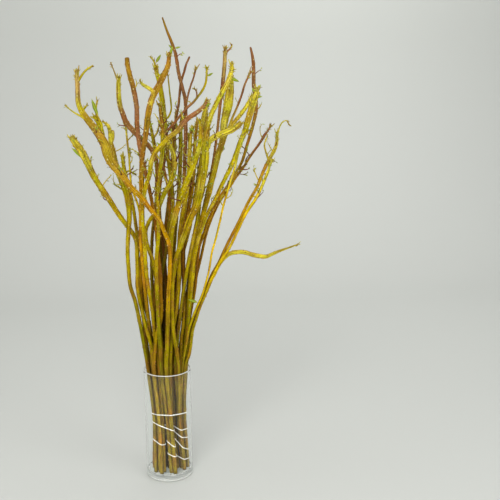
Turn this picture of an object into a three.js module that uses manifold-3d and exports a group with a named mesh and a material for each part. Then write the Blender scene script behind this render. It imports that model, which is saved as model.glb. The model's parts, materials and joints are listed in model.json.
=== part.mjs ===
// Fantail willow stems standing in a clear glass vase, held by white rubber bands.
// Each stem is round at its foot, flattens into a ribbon as it rises, then bends and forks.
// It carries buds, a tuft of stubs at each tip and a few leaves.
// The stems are bent clear of each other by a settling rule.
// Millimetres, +Z up, -Y towards the viewer, origin at the centre of the vase's foot.
import * as THREE from "three";
import Module from "manifold-3d";

const wasm = await Module();
wasm.setup();

// Vase
const VASE_DIAMETER = 104;
const VASE_HEIGHT = 250;
const VASE_WALL = 3;
const VASE_FLOOR = 14;
const VASE_FOOT_ROUND = 5;
const VASE_LIP_ROUND = 1;
const VASE_SIDES = 33;

// Stems
const SIDES = 6;
const TWIG_SIDES = 5;
const FOOT_HEIGHT = VASE_FLOOR + 0.5;
const STEP = 10;
const FOOT_LEVEL = 2;
const RIM_LEVEL = 25;
const WAIST_HEIGHT = 140;
const WAIST_SHARE = 0.84;
const FOOT_SHARE = 0.95;
const SWIRL = THREE.MathUtils.degToRad(18);
const SPREAD = 1.8;
const SWAY = 11;
const SWAY_LENGTH = 95;
const ROUND_BELOW = 330;
const FLAT_ABOVE = 640;
const RIBBON_THICKNESS = 5.4;
const LOWER_GIRTH = 0.88;
const SLIM_BELOW = 660;
const FULL_ABOVE = 760;
const OUTLINE_TOLERANCE = 1.4;
const FLATS_ALLOWANCE = 1.05;

// Routes are read on the plane of the vase's axis from an eye at this distance and height.
// A stem in front of that plane or behind it is moved along the line of sight.
const EYE_DISTANCE = 1900;
const EYE_HEIGHT = 948;

// Settling
const SETTLE_ROUNDS = 400;
const SETTLE_RATE = 0.3;
const GAP_IN_BUNDLE = 1;
const GAP_AT_BANDS = 3;
const BUNDLE_PULL = 0.02;
const BANDS_BELOW = 160;
const BUNDLE_CENTRE = 15;
const GAP_ABOVE = 2.4;
const VASE_INSIDE = VASE_DIAMETER / 2 - VASE_WALL - 1;
const WAIST_GIRTH = 42;

// Buds, tufts and leaves
const BUD_LENGTH = 5.5;
const BUD_RADIUS = 1.5;
const BUD_SPACING = 85;
const BUD_START = 275;
const BUD_CLEAR = 0.8;
const GOLDEN_ANGLE = Math.PI * (3 - Math.sqrt(5));
const STUB_LENGTH = 11;
const STUB_RADIUS = 1.2;
const STUBS_AT_TIP = 3;
const STUBS_AT_TWIG = 2;
const LEAF_WIDTH = 6;
const LEAF_THICKNESS = 0.9;

// Bands
const BAND_THICKNESS = 0.8;
const BAND_WIDTH = 2.1;
const BAND_GAP = 0.45;
const BAND_POINTS = 24;
const MAIN_BAND_POINTS = 60;

const TONES = { yellow: 0xa8a01c, olive: 0x7f7a1a, brown: 0x96641c, red: 0x6e3f30 };

// Depth is a stem's y at the rim and top its y at the tip before SPREAD.
// Facing turns its ribbon from the viewer, in degrees.
// A route's points are x, z and width, from the rim up.
// Below the crown a stem keeps the share LOWER_GIRTH of its width.
// A fork or twig leaves the stem at the height "from" and swings to another depth.
// A leaf starts at the height "at" and reaches so far in x and z.
const STEMS = [
  {
    name: "stem_01_left_ribbon", depth: -18, top: 0, facing: 8, tone: "yellow",
    route: [[-27, 250, 9.5], [-33, 300, 9.5], [-45, 350, 9.5], [-55, 400, 9.5], [-59, 440, 9.5],
      [-57, 470, 9.5], [-56, 500, 10], [-57, 540, 10], [-66, 560, 10.5], [-78, 577, 11], [-92, 598, 12],
      [-115, 638, 13], [-138, 675, 14.5], [-155, 715, 16], [-165, 735, 16], [-178, 755, 14],
      [-186, 772, 9]],
    leaves: [{ at: 712, reach: [-30, 30] }],
  },
  {
    name: "stem_02_curled_tip", depth: -10, top: -44, facing: -18, tone: "olive",
    route: [[-42, 250, 9.5], [-47, 300, 9.5], [-54, 360, 9.5], [-62, 405, 9.5], [-72, 440, 9.5],
      [-75, 480, 10], [-76, 520, 10], [-73, 560, 11], [-70, 600, 13], [-75, 645, 15], [-84, 672, 15],
      [-92, 695, 14], [-97, 720, 11.5], [-100, 740, 9.5], [-103, 752, 9.5], [-101, 764, 12.5],
      [-101, 772, 12.5], [-103, 780, 9]],
    twigs: [
      { from: 768, swing: -5, route: [[-106, 783, 8], [-111, 789, 6], [-117, 794, 3.4]] },
    ],
  },
  {
    name: "stem_03_long_diagonal", depth: -38, top: -70, facing: 6, tone: "yellow",
    route: [[-2, 250, 10.5], [2, 300, 10.5], [5, 340, 10.5], [7, 380, 10.5], [9, 420, 10],
      [12, 460, 10], [14, 500, 10], [12, 530, 10], [4, 555, 10], [-8, 585, 10.5], [-24, 605, 10.5],
      [-45, 635, 11.5], [-62, 652, 12.5], [-80, 678, 14.5], [-97, 700, 17.5], [-108, 720, 20],
      [-115, 745, 18.5], [-127, 768, 15.5], [-142, 790, 14], [-155, 808, 12], [-165, 830, 10],
      [-165.5, 860, 9], [-165.5, 880, 8.5], [-165, 906, 7]],
    forks: [
      { from: 730, swing: 14, route: [[-117, 750, 11], [-121, 775, 9.5], [-128, 795, 8.5],
        [-138, 810, 6]] },
    ],
    twigs: [
      { from: 792, swing: -6, route: [[-160, 804, 3.8], [-176, 814, 2.9], [-193, 828, 2]] },
      { from: 876, swing: 5, route: [[-158, 885, 4.5], [-147, 898, 4], [-133, 907, 3.4]] },
      { from: 770, swing: 26, route: [[-120, 786, 5], [-130, 812, 4], [-127, 838, 2.6]] },
      { from: 806, swing: 10, route: [[-158, 815, 4.5], [-153, 822, 4], [-148, 828, 3]] },
    ],
    leaves: [{ at: 812, reach: [13, 36] }],
  },
  {
    name: "stem_04_bent_brown", depth: -14, top: 34, facing: 20, tone: "brown",
    route: [[-20, 250, 9], [-24, 300, 9], [-25, 350, 9], [-23, 400, 9], [-18, 450, 9], [-12, 500, 9],
      [-9, 560, 9], [-9, 600, 9], [-8, 650, 9], [-6, 690, 9.5], [-9, 715, 10], [-18, 735, 10],
      [-30, 750, 10.5], [-42, 760, 11], [-52, 772, 11.5], [-60, 780, 11.5], [-70, 795, 11.5],
      [-75, 810, 11], [-80, 825, 11], [-82, 845, 10.5], [-82, 865, 10], [-80, 893, 7]],
    twigs: [
      { from: 866, swing: -5, route: [[-86, 885, 3.6], [-90, 897, 3], [-96, 913, 2.4]] },
    ],
  },
  {
    name: "stem_05_blunt_red", depth: -31, top: -6, facing: -25, tone: "red",
    route: [[-29, 250, 10.5], [-25, 300, 10.5], [-20, 332, 10], [-12, 360, 10], [-9, 390, 10],
      [-10, 420, 9.5], [-9, 460, 9.5], [-13, 520, 9], [-15, 570, 9], [-18, 590, 9], [-23, 630, 9],
      [-30, 670, 9], [-41, 725, 9.5], [-47, 780, 10], [-47, 825, 10], [-53, 865, 10.5],
      [-58, 885, 10.5], [-62, 905, 10], [-63, 926, 9]],
  },
  {
    name: "stem_06_orange_ribbon", depth: -6, top: -40, facing: 12, tone: "brown",
    route: [[-32, 250, 9], [-34, 300, 9], [-37, 350, 9], [-41, 400, 9], [-45, 450, 9], [-48, 500, 9],
      [-50, 540, 9], [-48, 580, 9], [-45, 620, 9.5], [-44, 650, 9.5], [-42, 690, 10], [-37, 730, 10.5],
      [-30, 765, 11], [-25, 800, 12], [-18, 830, 12.5], [-12, 845, 12.5], [2, 870, 12.5], [10, 885, 12],
      [20, 905, 10], [24, 938, 5.5]],
    twigs: [
      { from: 830, swing: -8, route: [[-12, 852, 8], [-26, 864, 7.5], [-34, 869, 6], [-38, 876, 3.4]] },
    ],
    leaves: [{ at: 926, reach: [8, 18] }],
  },
  {
    name: "stem_07_tallest", depth: -12, top: 12, facing: 30, tone: "red",
    route: [[30, 250, 9], [35, 320, 9], [40, 350, 9], [44, 400, 9], [43, 430, 9], [43, 460, 9],
      [44, 530, 9], [45, 590, 9], [47, 650, 9], [50, 710, 8.5], [53, 760, 8.5], [54, 800, 8],
      [54, 835, 7.5], [50, 855, 7.5], [44, 880, 7.5], [41, 895, 7.5], [36, 930, 7], [26, 960, 6],
      [20, 975, 5], [10, 1006, 3]],
    forks: [
      { from: 790, swing: -10, route: [[56, 825, 4.6], [60, 845, 4.2], [66, 865, 4], [72, 880, 3.8],
        [80, 910, 3.6]] },
    ],
    leaves: [{ at: 936, reach: [-12, 12] }, { at: 940, reach: [14, 4] }],
  },
  {
    name: "stem_08_thin_red", depth: 8, top: 24, facing: 50, tone: "red",
    route: [[-2, 250, 8.5], [0, 320, 8.5], [2, 380, 8.5], [3, 440, 8.5], [1, 500, 8.5], [-5, 560, 8],
      [-8, 610, 8], [-7, 650, 7.5], [0, 690, 7], [11, 727, 7], [22, 760, 6.5], [28, 780, 6],
      [38, 820, 5.6], [41, 840, 5.4], [46, 875, 5.2], [50, 885, 5], [58, 910, 4.6], [66, 926, 4]],
  },
  {
    name: "stem_09_olive_ribbon", depth: 26, top: 42, facing: -10, tone: "olive",
    route: [[-10, 250, 9], [-10, 310, 9], [-9, 380, 9], [-7, 450, 9], [-7, 520, 9], [-11, 580, 9.5],
      [-12, 630, 10], [-6, 680, 10], [3, 720, 10.5], [8, 760, 11], [10, 780, 11], [9, 800, 11.5],
      [6, 840, 11], [1, 875, 10], [-3, 890, 9.5], [-7, 916, 8]],
    twigs: [
      { from: 896, swing: -4, route: [[-9, 916, 4], [-15, 924, 3]] },
      { from: 790, swing: 4, route: [[17, 800, 4.4], [24, 815, 4], [24, 832, 3.8], [22, 852, 3.4],
        [20.5, 872, 3], [19, 889, 2.4]] },
    ],
    leaves: [{ at: 908, reach: [12, 20] }, { at: 880, reach: [14, 12] }],
  },
  {
    name: "stem_10_dark_reacher", depth: 20, top: 6, facing: 20, tone: "red",
    route: [[7, 250, 8], [7, 350, 8], [8, 420, 8], [10, 480, 7.6], [14, 540, 7.2], [18, 590, 7],
      [17, 640, 6.6], [11, 680, 6.2], [4, 715, 6], [3, 740, 6], [8, 760, 5.8], [18, 775, 5.6],
      [28, 785, 5.4], [38, 798, 5.2], [58, 820, 5], [68, 828, 5], [80, 842, 5], [90, 855, 5],
      [97, 870, 5], [99, 885, 4.6], [100, 908, 4.2]],
    twigs: [
      { from: 838, swing: -4, route: [[78, 852, 3], [73, 859, 2.4]] },
    ],
    leaves: [{ at: 882, reach: [14, 8] }],
  },
  {
    name: "stem_11_crossing_ribbon", depth: -20, top: -62, facing: 5, tone: "brown",
    route: [[-17, 250, 9], [-20, 290, 9], [-24, 330, 9], [-27, 380, 9], [-30, 400, 9], [-35, 440, 9],
      [-38, 470, 9], [-40, 530, 9], [-42, 570, 9], [-42, 605, 9], [-40, 630, 9.5], [-32, 660, 10],
      [-25, 680, 10], [-22, 700, 10], [-18, 715, 10], [-10, 730, 10], [5, 745, 10.5], [20, 760, 10.5],
      [32, 768, 10.5], [55, 795, 10], [70, 805, 9.5], [85, 815, 8.5], [95, 827, 6.5], [103, 843, 4]],
    leaves: [{ at: 828, reach: [16, 6] }],
  },
  {
    name: "stem_12_broad_ribbon", depth: -30, top: -46, facing: -6, tone: "yellow",
    route: [[24, 250, 10], [20, 290, 10], [15, 322, 10], [12, 355, 10], [13, 400, 10], [15, 440, 10.5],
      [20, 470, 11], [26, 500, 12], [34, 522, 13], [42, 545, 14.5], [50, 565, 16], [60, 590, 17],
      [72, 612, 18], [80, 640, 19], [85, 670, 20], [90, 700, 20.5], [92, 735, 19], [95, 765, 13],
      [104, 795, 10], [110, 810, 9.5], [125, 840, 9.5], [142, 870, 9.5], [148, 885, 9], [152, 900, 8],
      [150, 916, 5]],
    forks: [
      { from: 725, swing: -12, route: [[103, 750, 12.5], [115, 758, 13], [130, 765, 13],
        [145, 770, 12.5], [160, 778, 11.5], [178, 796, 7]] },
      { from: 740, swing: -8, route: [[90, 770, 10], [90, 790, 9], [95, 815, 8], [106, 833, 5]] },
    ],
    leaves: [{ at: 884, reach: [20, -8] }],
  },
  {
    name: "stem_13_olive_lean", depth: -2, top: -50, facing: -20, tone: "olive",
    route: [[17, 250, 9], [15, 310, 9], [13, 380, 9], [13, 430, 9], [14, 480, 10], [16, 520, 12],
      [20, 560, 13.5], [30, 600, 14], [43, 640, 14], [58, 675, 13.5], [72, 710, 12.5], [82, 740, 11],
      [85, 770, 9], [83, 808, 5.5]],
  },
  {
    name: "stem_14_curl_headed", depth: 14, top: 24, facing: 25, tone: "brown",
    route: [[37, 250, 8.5], [40, 280, 8.5], [45, 320, 8.5], [52, 370, 8.5], [56, 390, 8.5],
      [62, 420, 8.5], [66, 450, 8.5], [68, 480, 8.5], [72, 510, 8.5], [76, 545, 8], [82, 580, 7.6],
      [90, 615, 7.2], [98, 650, 6.8], [104, 680, 6.4], [112, 720, 6], [118, 760, 5.8], [122, 790, 6],
      [127, 830, 7], [131, 860, 8.5], [136, 900, 9.5], [138, 930, 8], [139, 948, 5]],
    twigs: [
      { from: 922, swing: 4, route: [[143, 934, 4], [150, 940, 3.4], [152, 948, 2.4]] },
    ],
  },
  {
    name: "stem_15_wide_yellow", depth: 0, top: -14, facing: 4, tone: "yellow",
    route: [[33, 250, 9.5], [36, 270, 9.5], [42, 320, 9.5], [47, 370, 9.5], [51, 420, 9.5],
      [54, 460, 9.5], [58, 495, 10], [66, 530, 10.5], [76, 560, 11], [86, 595, 11.5], [100, 640, 12],
      [105, 660, 12], [113, 690, 12.5], [120, 720, 13], [125, 735, 13], [130, 750, 13.5],
      [133, 780, 15], [137, 800, 17], [142, 820, 19], [146, 845, 18.5], [149, 868, 12.5],
      [152, 892, 6]],
  },
  {
    name: "stem_16_split_pair", depth: 6, top: 2, facing: 10, tone: "yellow",
    route: [[26, 250, 9], [36, 320, 9], [45, 380, 9], [52, 430, 9], [60, 480, 9], [70, 525, 9],
      [80, 565, 9.5], [90, 605, 10], [98, 640, 10], [106, 672, 10], [114, 700, 10], [122, 725, 10],
      [131, 748, 9.5], [140, 768, 9], [150, 783, 8], [160, 793, 8], [170, 805, 8.5], [180, 818, 8.5],
      [190, 835, 8], [200, 852, 5]],
    forks: [
      { from: 755, swing: 16, route: [[147, 785, 5.4], [153, 800, 5], [160, 815, 4.8], [172, 845, 4.6],
        [178, 865, 4.4], [193, 896, 3.6]] },
    ],
  },
  {
    name: "stem_17_dark_spear", depth: 27, top: 30, facing: 30, tone: "red",
    route: [[33, 250, 9], [38, 290, 9], [44, 340, 9], [50, 390, 9], [56, 430, 9], [63, 470, 9],
      [72, 505, 8.6], [81, 533, 8.4], [89, 553, 8.2], [96, 574, 8], [105, 594, 7.8], [115, 615, 7.6],
      [126, 634, 7.4], [138, 651, 7.2], [151, 670, 7], [163, 689, 7], [173, 710, 7], [182, 740, 7],
      [190, 765, 7.4], [197, 790, 8], [202, 815, 8.6], [201, 835, 9], [197, 860, 9], [197, 880, 9],
      [196, 915, 7.5], [190, 945, 3.6]],
  },
  {
    name: "stem_18_tufted_ribbon", depth: -5, top: -34, facing: -8, tone: "olive",
    route: [[41, 250, 9], [43, 300, 9], [47, 350, 9], [53, 400, 9], [58, 440, 9], [63, 480, 9],
      [68, 515, 9], [76, 546, 9], [84, 568, 9], [92, 588, 9], [102, 607, 9], [114, 628, 9.5],
      [124, 650, 9.5], [134, 669, 9.5], [145, 690, 10], [155, 713, 10], [167, 744, 10.5],
      [178, 770, 11.5], [187, 800, 13.5], [192, 815, 14], [198, 832, 13], [203, 850, 9.5],
      [206, 866, 6]],
    leaves: [{ at: 852, reach: [10, 16] }, { at: 848, reach: [-9, 14] }, { at: 842, reach: [14, 3] }],
  },
  {
    name: "stem_19_red_arrow", depth: 18, top: 48, facing: 45, tone: "red",
    route: [[26, 250, 8], [31, 280, 8], [38, 320, 8], [47, 370, 8], [58, 420, 8], [69, 465, 8],
      [80, 505, 7.6], [90, 545, 7.2], [100, 575, 7], [120, 617, 6.6], [140, 645, 6.2], [160, 675, 6],
      [172, 690, 6], [190, 718, 6], [208, 742, 5.8], [218, 757, 5.4], [236, 784, 4]],
    twigs: [
      { from: 672, swing: -8, route: [[168, 690, 4], [180, 700, 3]] },
    ],
  },
  {
    name: "stem_20_far_right", depth: 4, top: 20, facing: 40, tone: "brown",
    route: [[45, 250, 9], [49, 290, 9], [54, 330, 9], [62, 360, 9], [78, 400, 9], [93, 435, 9],
      [105, 463, 8.6], [118, 485, 8.4], [132, 515, 8.2], [147, 545, 8], [163, 575, 8], [180, 610, 8],
      [190, 628, 8], [203, 650, 8.2], [215, 680, 8.6], [230, 710, 8.8], [239, 726, 8.6], [245, 742, 8],
      [246, 772, 5]],
    twigs: [
      { from: 750, swing: -4, route: [[252, 778, 3.2], [258, 787, 2.8], [266, 790, 2.5],
        [273, 780, 2.2]] },
      { from: 702, swing: 8, route: [[222, 725, 4.2], [219, 740, 3.4], [225, 757, 2.4]] },
    ],
  },
  {
    name: "stem_21_curving_arm", depth: -17, top: -26, facing: 6, tone: "yellow",
    route: [[44, 250, 9.5], [53, 280, 9.5], [57, 310, 9.5], [60, 335, 9.5], [67, 360, 9.5],
      [75, 385, 9.5], [83, 405, 9.5], [92, 425, 9.5], [100, 445, 9.5], [110, 465, 10], [120, 484, 10],
      [134, 505, 7.6], [148, 530, 7.2], [162, 560, 7.2], [178, 592, 7.2], [200, 625, 7.4],
      [215, 655, 7.2], [227, 685, 6.6], [232, 700, 5.6], [243, 720, 4]],
    twigs: [
      { from: 465, swing: -20, route: [[120, 484, 9.5], [133, 499, 9.5], [145, 506, 9.5],
        [160, 508.5, 9.5], [175, 507.5, 9.5], [190, 502.5, 10], [205, 498.5, 10], [222, 496.5, 9],
        [235, 501.5, 7.4], [250, 507.5, 6], [265, 512.5, 4.6], [280, 517.5, 3.6], [294, 522.5, 2.4]] },
    ],
  },
  {
    name: "stem_22_thin_yellow", depth: -26, top: -50, facing: 0, tone: "yellow",
    route: [[36, 250, 5.9], [44, 300, 5.9], [52, 340, 5.5], [60, 365, 5.5], [68, 385, 5.4],
      [80, 412, 5.2], [86, 430, 5], [92, 450, 5], [97, 470, 5], [104, 510, 5], [110, 530, 5],
      [118, 560, 5], [124, 585, 5], [130, 610, 5], [142, 650, 5], [148, 670, 4.9], [155, 690, 4.7],
      [165, 730, 4.4], [170, 745, 4], [178, 772, 3]],
    leaves: [{ at: 400, reach: [-14, 6] }],
  },
  {
    name: "stem_23_cut_stub", depth: 8, top: 10, facing: -30, tone: "olive",
    route: [[-26, 250, 9.5], [-30, 300, 9.5], [-34, 330, 9.5], [-37, 357, 9.5], [-43, 390, 9.5],
      [-47, 418, 9.5], [-48, 440, 9.5], [-51, 470, 9], [-52, 500, 9], [-50, 540, 9], [-53, 570, 9],
      [-57, 600, 9], [-62, 630, 9], [-68, 655, 9], [-72, 675, 9.5], [-76, 695, 10], [-78, 715, 8.5],
      [-80, 736, 8]],
    twigs: [
      { from: 682, swing: 12, route: [[-68, 690, 4], [-60, 687, 3.4], [-52, 682, 2.6]] },
    ],
    leaves: [{ at: 690, reach: [-10, 8] }],
  },
  {
    name: "stem_24_thin_left", depth: 22, top: 34, facing: 0, tone: "yellow",
    route: [[-31, 250, 7], [-35, 320, 7], [-39, 400, 6.6], [-43, 470, 6.2], [-45, 520, 6],
      [-47, 560, 5.8], [-47, 590, 5.6], [-52, 620, 5.4], [-62, 650, 5.2], [-65, 680, 5],
      [-66, 720, 4.8], [-69, 760, 4.4], [-71, 792, 3.2]],
  },
  {
    name: "stem_25_pale_centre", depth: -12, top: -28, facing: -10, tone: "yellow",
    route: [[-8, 250, 9.5], [-12, 330, 9.5], [-15, 400, 9.5], [-18, 460, 9.5], [-25, 500, 9.5],
      [-35, 533, 10], [-36, 562, 9], [-26, 585, 9.5], [-10, 605, 10.5], [-4, 620, 11], [6, 642, 11.5],
      [18, 662, 11.5], [27, 690, 12], [29, 710, 11.5], [25, 730, 10.5], [15, 752, 8], [9, 768, 4.5]],
  },
  {
    name: "stem_26_back_centre", depth: 39, top: 60, facing: 65, tone: "olive",
    route: [[5, 250, 9], [8, 330, 9], [15, 420, 9.5], [22, 510, 10], [30, 590, 11.5], [36, 650, 13],
      [40, 700, 14], [42, 745, 13], [44, 785, 9], [48, 812, 5]],
    twigs: [
      { from: 752, swing: 12, route: [[37, 775, 5], [32, 796, 4], [34, 815, 2.6]] },
    ],
  },
  {
    name: "stem_27_back_right", depth: 36, top: 66, facing: 50, tone: "brown",
    route: [[20, 250, 9], [24, 350, 9], [33, 450, 9], [45, 540, 9.5], [56, 610, 10.5], [64, 660, 12],
      [69, 700, 12], [72, 740, 10], [76, 780, 8], [80, 802, 5]],
  },
  {
    name: "stem_28_back_left", depth: 36, top: 64, facing: -60, tone: "olive",
    route: [[-20, 250, 8.6], [-24, 350, 8.6], [-27, 450, 9], [-24, 540, 9.5], [-13, 620, 11],
      [-8, 680, 12], [-12, 735, 11], [-18, 775, 8], [-24, 806, 5]],
    twigs: [
      { from: 745, swing: 10, route: [[-6, 770, 4.4], [-2, 786, 3.4], [-4, 800, 2.6]] },
    ],
  },
  {
    name: "stem_29_back_middle", depth: 22, top: 44, facing: 75, tone: "brown",
    route: [[-15, 250, 9], [-15, 350, 9], [-10, 450, 9], [2, 540, 9.5], [12, 610, 10.5],
      [20, 670, 11.5], [24, 720, 11], [27, 762, 8.5], [24, 796, 5]],
  },
  {
    name: "stem_30_front_right", depth: -30, top: -5, facing: 10, tone: "yellow",
    route: [[10, 250, 9.5], [13, 300, 9.5], [20, 350, 9.5], [28, 400, 9.5], [32, 450, 9.5],
      [33, 500, 9.5], [36, 550, 10], [44, 600, 10.5], [54, 645, 11], [60, 690, 10.5], [62, 730, 9],
      [66, 765, 6], [70, 785, 4]],
  },
  {
    name: "stem_31_front_left", depth: -37, top: -30, facing: -15, tone: "olive",
    route: [[-14, 250, 9.5], [-15, 300, 9.5], [-17, 350, 9.5], [-17, 400, 9.5], [-17, 450, 9.5],
      [-16, 500, 9.5], [-10, 550, 9.5], [-9, 600, 9.5], [-9, 640, 9.5], [-6, 675, 9.5], [0, 705, 9.5],
      [4, 735, 9.5], [5, 770, 9], [3, 805, 8], [1, 826, 6], [0, 838, 4]],
    leaves: [{ at: 742, reach: [-12, 12] }],
  },
  {
    name: "stem_32_centre", depth: -16, top: 0, facing: 40, tone: "brown",
    route: [[10, 250, 9], [14, 330, 9], [22, 410, 9], [32, 480, 9], [42, 540, 9.5], [52, 590, 10],
      [62, 640, 10], [68, 690, 9.5], [70, 735, 8], [74, 775, 6], [80, 800, 4]],
    leaves: [{ at: 770, reach: [-14, 10] }],
  },
  {
    name: "stem_33_centre_left", depth: 2, top: 10, facing: -35, tone: "olive",
    route: [[-12, 250, 9], [-14, 330, 9], [-10, 410, 9], [0, 480, 9], [11, 550, 9], [20, 610, 9.5],
      [18, 660, 10], [13, 710, 9.5], [10, 755, 8], [4, 795, 5.5], [0, 820, 4]],
  },
  {
    name: "stem_34_left", depth: 8, top: 16, facing: 25, tone: "brown",
    route: [[-38, 250, 9], [-43, 310, 9], [-48, 370, 9], [-52, 430, 9], [-52, 490, 9], [-49, 550, 9],
      [-46, 610, 9], [-42, 660, 9], [-42, 710, 8.5], [-44, 755, 7], [-47, 790, 5]],
  },
  {
    name: "stem_35_centre_right", depth: 4, top: 20, facing: 60, tone: "yellow",
    route: [[8, 250, 9], [12, 330, 9], [20, 410, 9], [30, 480, 9], [40, 540, 9], [48, 600, 9],
      [54, 660, 9], [58, 705, 8.5], [60, 740, 7], [60, 768, 5]],
  },
  {
    name: "stem_36_back", depth: 40, top: 52, facing: 20, tone: "yellow",
    route: [[-7, 250, 8.6], [-6, 340, 8.6], [-3, 430, 8.6], [4, 520, 9], [12, 600, 9.5], [20, 660, 9.5],
      [26, 710, 9], [30, 760, 7], [30, 800, 4.5]],
  },
  {
    name: "stem_37_right_mid", depth: -21, top: -6, facing: 15, tone: "olive",
    route: [[16, 250, 9], [22, 310, 9], [31, 370, 9], [41, 430, 9], [53, 490, 9], [66, 545, 9.5],
      [76, 590, 10], [80, 625, 10], [84, 655, 10], [90, 692, 9.5], [96, 730, 8.5], [101, 770, 6.5],
      [103, 802, 4]],
  },
  {
    name: "stem_38_right_back", depth: 31, top: 44, facing: -20, tone: "yellow",
    route: [[9, 250, 8.6], [14, 340, 8.6], [24, 430, 8.6], [40, 505, 9], [58, 570, 9.5], [70, 632, 9.5],
      [80, 690, 9.5], [90, 735, 8.5], [96, 775, 7], [98, 812, 5]],
  },
];

// The stems stand in bundles: one in the centre and six round it.
const SECTORS = ["front", "front_right", "back_right", "back", "back_left", "front_left"];

// Bands: a band goes round one or more bundles of stems, at a height and a slope along x and y.
const BANDS = [
  { name: "band_main", bundles: ["centre", ...SECTORS], height: 147.5, slope: [-0.03, -0.17] },
  { name: "band_left_upper", bundles: ["front_left", "front"], height: 114.5, slope: [-0.41, -0.18] },
  { name: "band_right_upper", bundles: ["front_right"], height: 123, slope: [-0.3, 0.1] },
  { name: "band_right_middle", bundles: ["front_right"], height: 114, slope: [-0.6, 0.1] },
  { name: "band_left", bundles: ["front_left"], height: 76, slope: [-0.45, 0] },
  { name: "band_front", bundles: ["front"], height: 87, slope: [-0.65, 0] },
  { name: "band_right", bundles: ["front_right"], height: 102, slope: [-1, 0.1] },
  { name: "band_front_low", bundles: ["front"], height: 60, slope: [-0.3, 0] },
  { name: "band_right_low", bundles: ["front_right"], height: 52, slope: [-0.35, 0] },
];

// Reading the routes
function ease(share) {
  const t = THREE.MathUtils.clamp(share, 0, 1);
  return t * t * (3 - 2 * t);
}

function alongSight(x, y, z) {
  const scale = 1 + y / EYE_DISTANCE;
  return [x * scale, y, EYE_HEIGHT + (z - EYE_HEIGHT) * scale];
}

function smoothAt(points, column, z) {
  const last = points.length - 1;
  let i = 0;
  while (i < last - 1 && points[i + 1].z < z) i += 1;
  const slope = (n) => {
    const a = points[Math.max(n - 1, 0)];
    const b = points[Math.min(n + 1, last)];
    return (b[column] - a[column]) / (b.z - a.z);
  };
  const p = points[i];
  const q = points[i + 1];
  const span = q.z - p.z;
  const t = THREE.MathUtils.clamp((z - p.z) / span, 0, 1.2);
  const t2 = t * t;
  const t3 = t2 * t;
  return (2 * t3 - 3 * t2 + 1) * p[column] + (t3 - 2 * t2 + t) * span * slope(i)
    + (3 * t2 - 2 * t3) * q[column] + (t3 - t2) * span * slope(i + 1);
}

function girthShareAt(z) {
  return LOWER_GIRTH + (1 - LOWER_GIRTH) * ease((z - SLIM_BELOW) / (FULL_ABOVE - SLIM_BELOW));
}

function thicknessAt(width, z) {
  const roundness = 1 - ease((z - ROUND_BELOW) / (FLAT_ABOVE - ROUND_BELOW));
  return Math.min(width, RIBBON_THICKNESS + (width - RIBBON_THICKNESS) * roundness);
}

function facingAt(stem, z) {
  return THREE.MathUtils.degToRad(stem.facing + 10 * Math.sin(z / 150 + 2 * stem.index));
}

function makeBranch(stem, points, from, parent) {
  const to = Math.round(points[points.length - 1].z / STEP);
  const columns = { x: [], y: [], width: [], thick: [], face: [], moveX: [], moveY: [] };
  const branch = { stem, parent, from, to, ...columns };
  for (let k = from; k <= to; k += 1) {
    const z = k * STEP;
    const width = Math.max(smoothAt(points, "width", z) * girthShareAt(z), 2.4);
    branch.x[k] = smoothAt(points, "x", z);
    branch.y[k] = smoothAt(points, "y", z);
    branch.width[k] = width;
    branch.thick[k] = thicknessAt(width, z);
    branch.face[k] = facingAt(stem, z);
    branch.moveX[k] = 0;
    branch.moveY[k] = 0;
  }
  return branch;
}

function stemPoints(stem) {
  const [rimX, rimZ, rimWidth] = stem.route[0];
  const tipZ = stem.route[stem.route.length - 1][1];
  const turned = (share, angle, z) => ({
    x: share * (rimX * Math.cos(angle) - stem.depth * Math.sin(angle)),
    y: share * (rimX * Math.sin(angle) + stem.depth * Math.cos(angle)),
    z,
    width: rimWidth,
  });
  const foot = turned(FOOT_SHARE, SWIRL, FOOT_LEVEL * STEP);
  const waist = turned(WAIST_SHARE, SWIRL / 2, WAIST_HEIGHT);
  const points = [foot, waist];
  for (const [routeX, routeZ, width] of stem.route) {
    const sway = SWAY * Math.sin(routeZ / SWAY_LENGTH + 1.9 * stem.index) * ease((routeZ - 300) / 250);
    const share = ease((routeZ - rimZ) / (tipZ - rimZ));
    const depth = stem.depth + (SPREAD * stem.top - stem.depth) * share + sway;
    const [x, y, z] = alongSight(routeX, depth, routeZ);
    points.push({ x, y, z, width });
  }
  return points;
}

function forkPoints(fork, parent) {
  const from = Math.round(fork.from / STEP);
  const rootY = parent.y[from];
  const tipZ = fork.route[fork.route.length - 1][1];
  const points = [{ x: parent.x[from], y: rootY, z: from * STEP, width: fork.route[0][2] }];
  for (const [routeX, routeZ, width] of fork.route) {
    const depth = rootY + fork.swing * ease((routeZ - fork.from) / (tipZ - fork.from));
    const [x, y, z] = alongSight(routeX, depth, routeZ);
    points.push({ x, y, z, width });
  }
  return points;
}

function bundleOf(stem) {
  const x = stem.route[0][0];
  if (Math.hypot(x, stem.depth) < BUNDLE_CENTRE) return "centre";
  const turn = (Math.atan2(stem.depth, x) / (2 * Math.PI) + 1 + 1 / 3) % 1;
  return SECTORS[Math.floor(6 * turn)];
}

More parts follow.
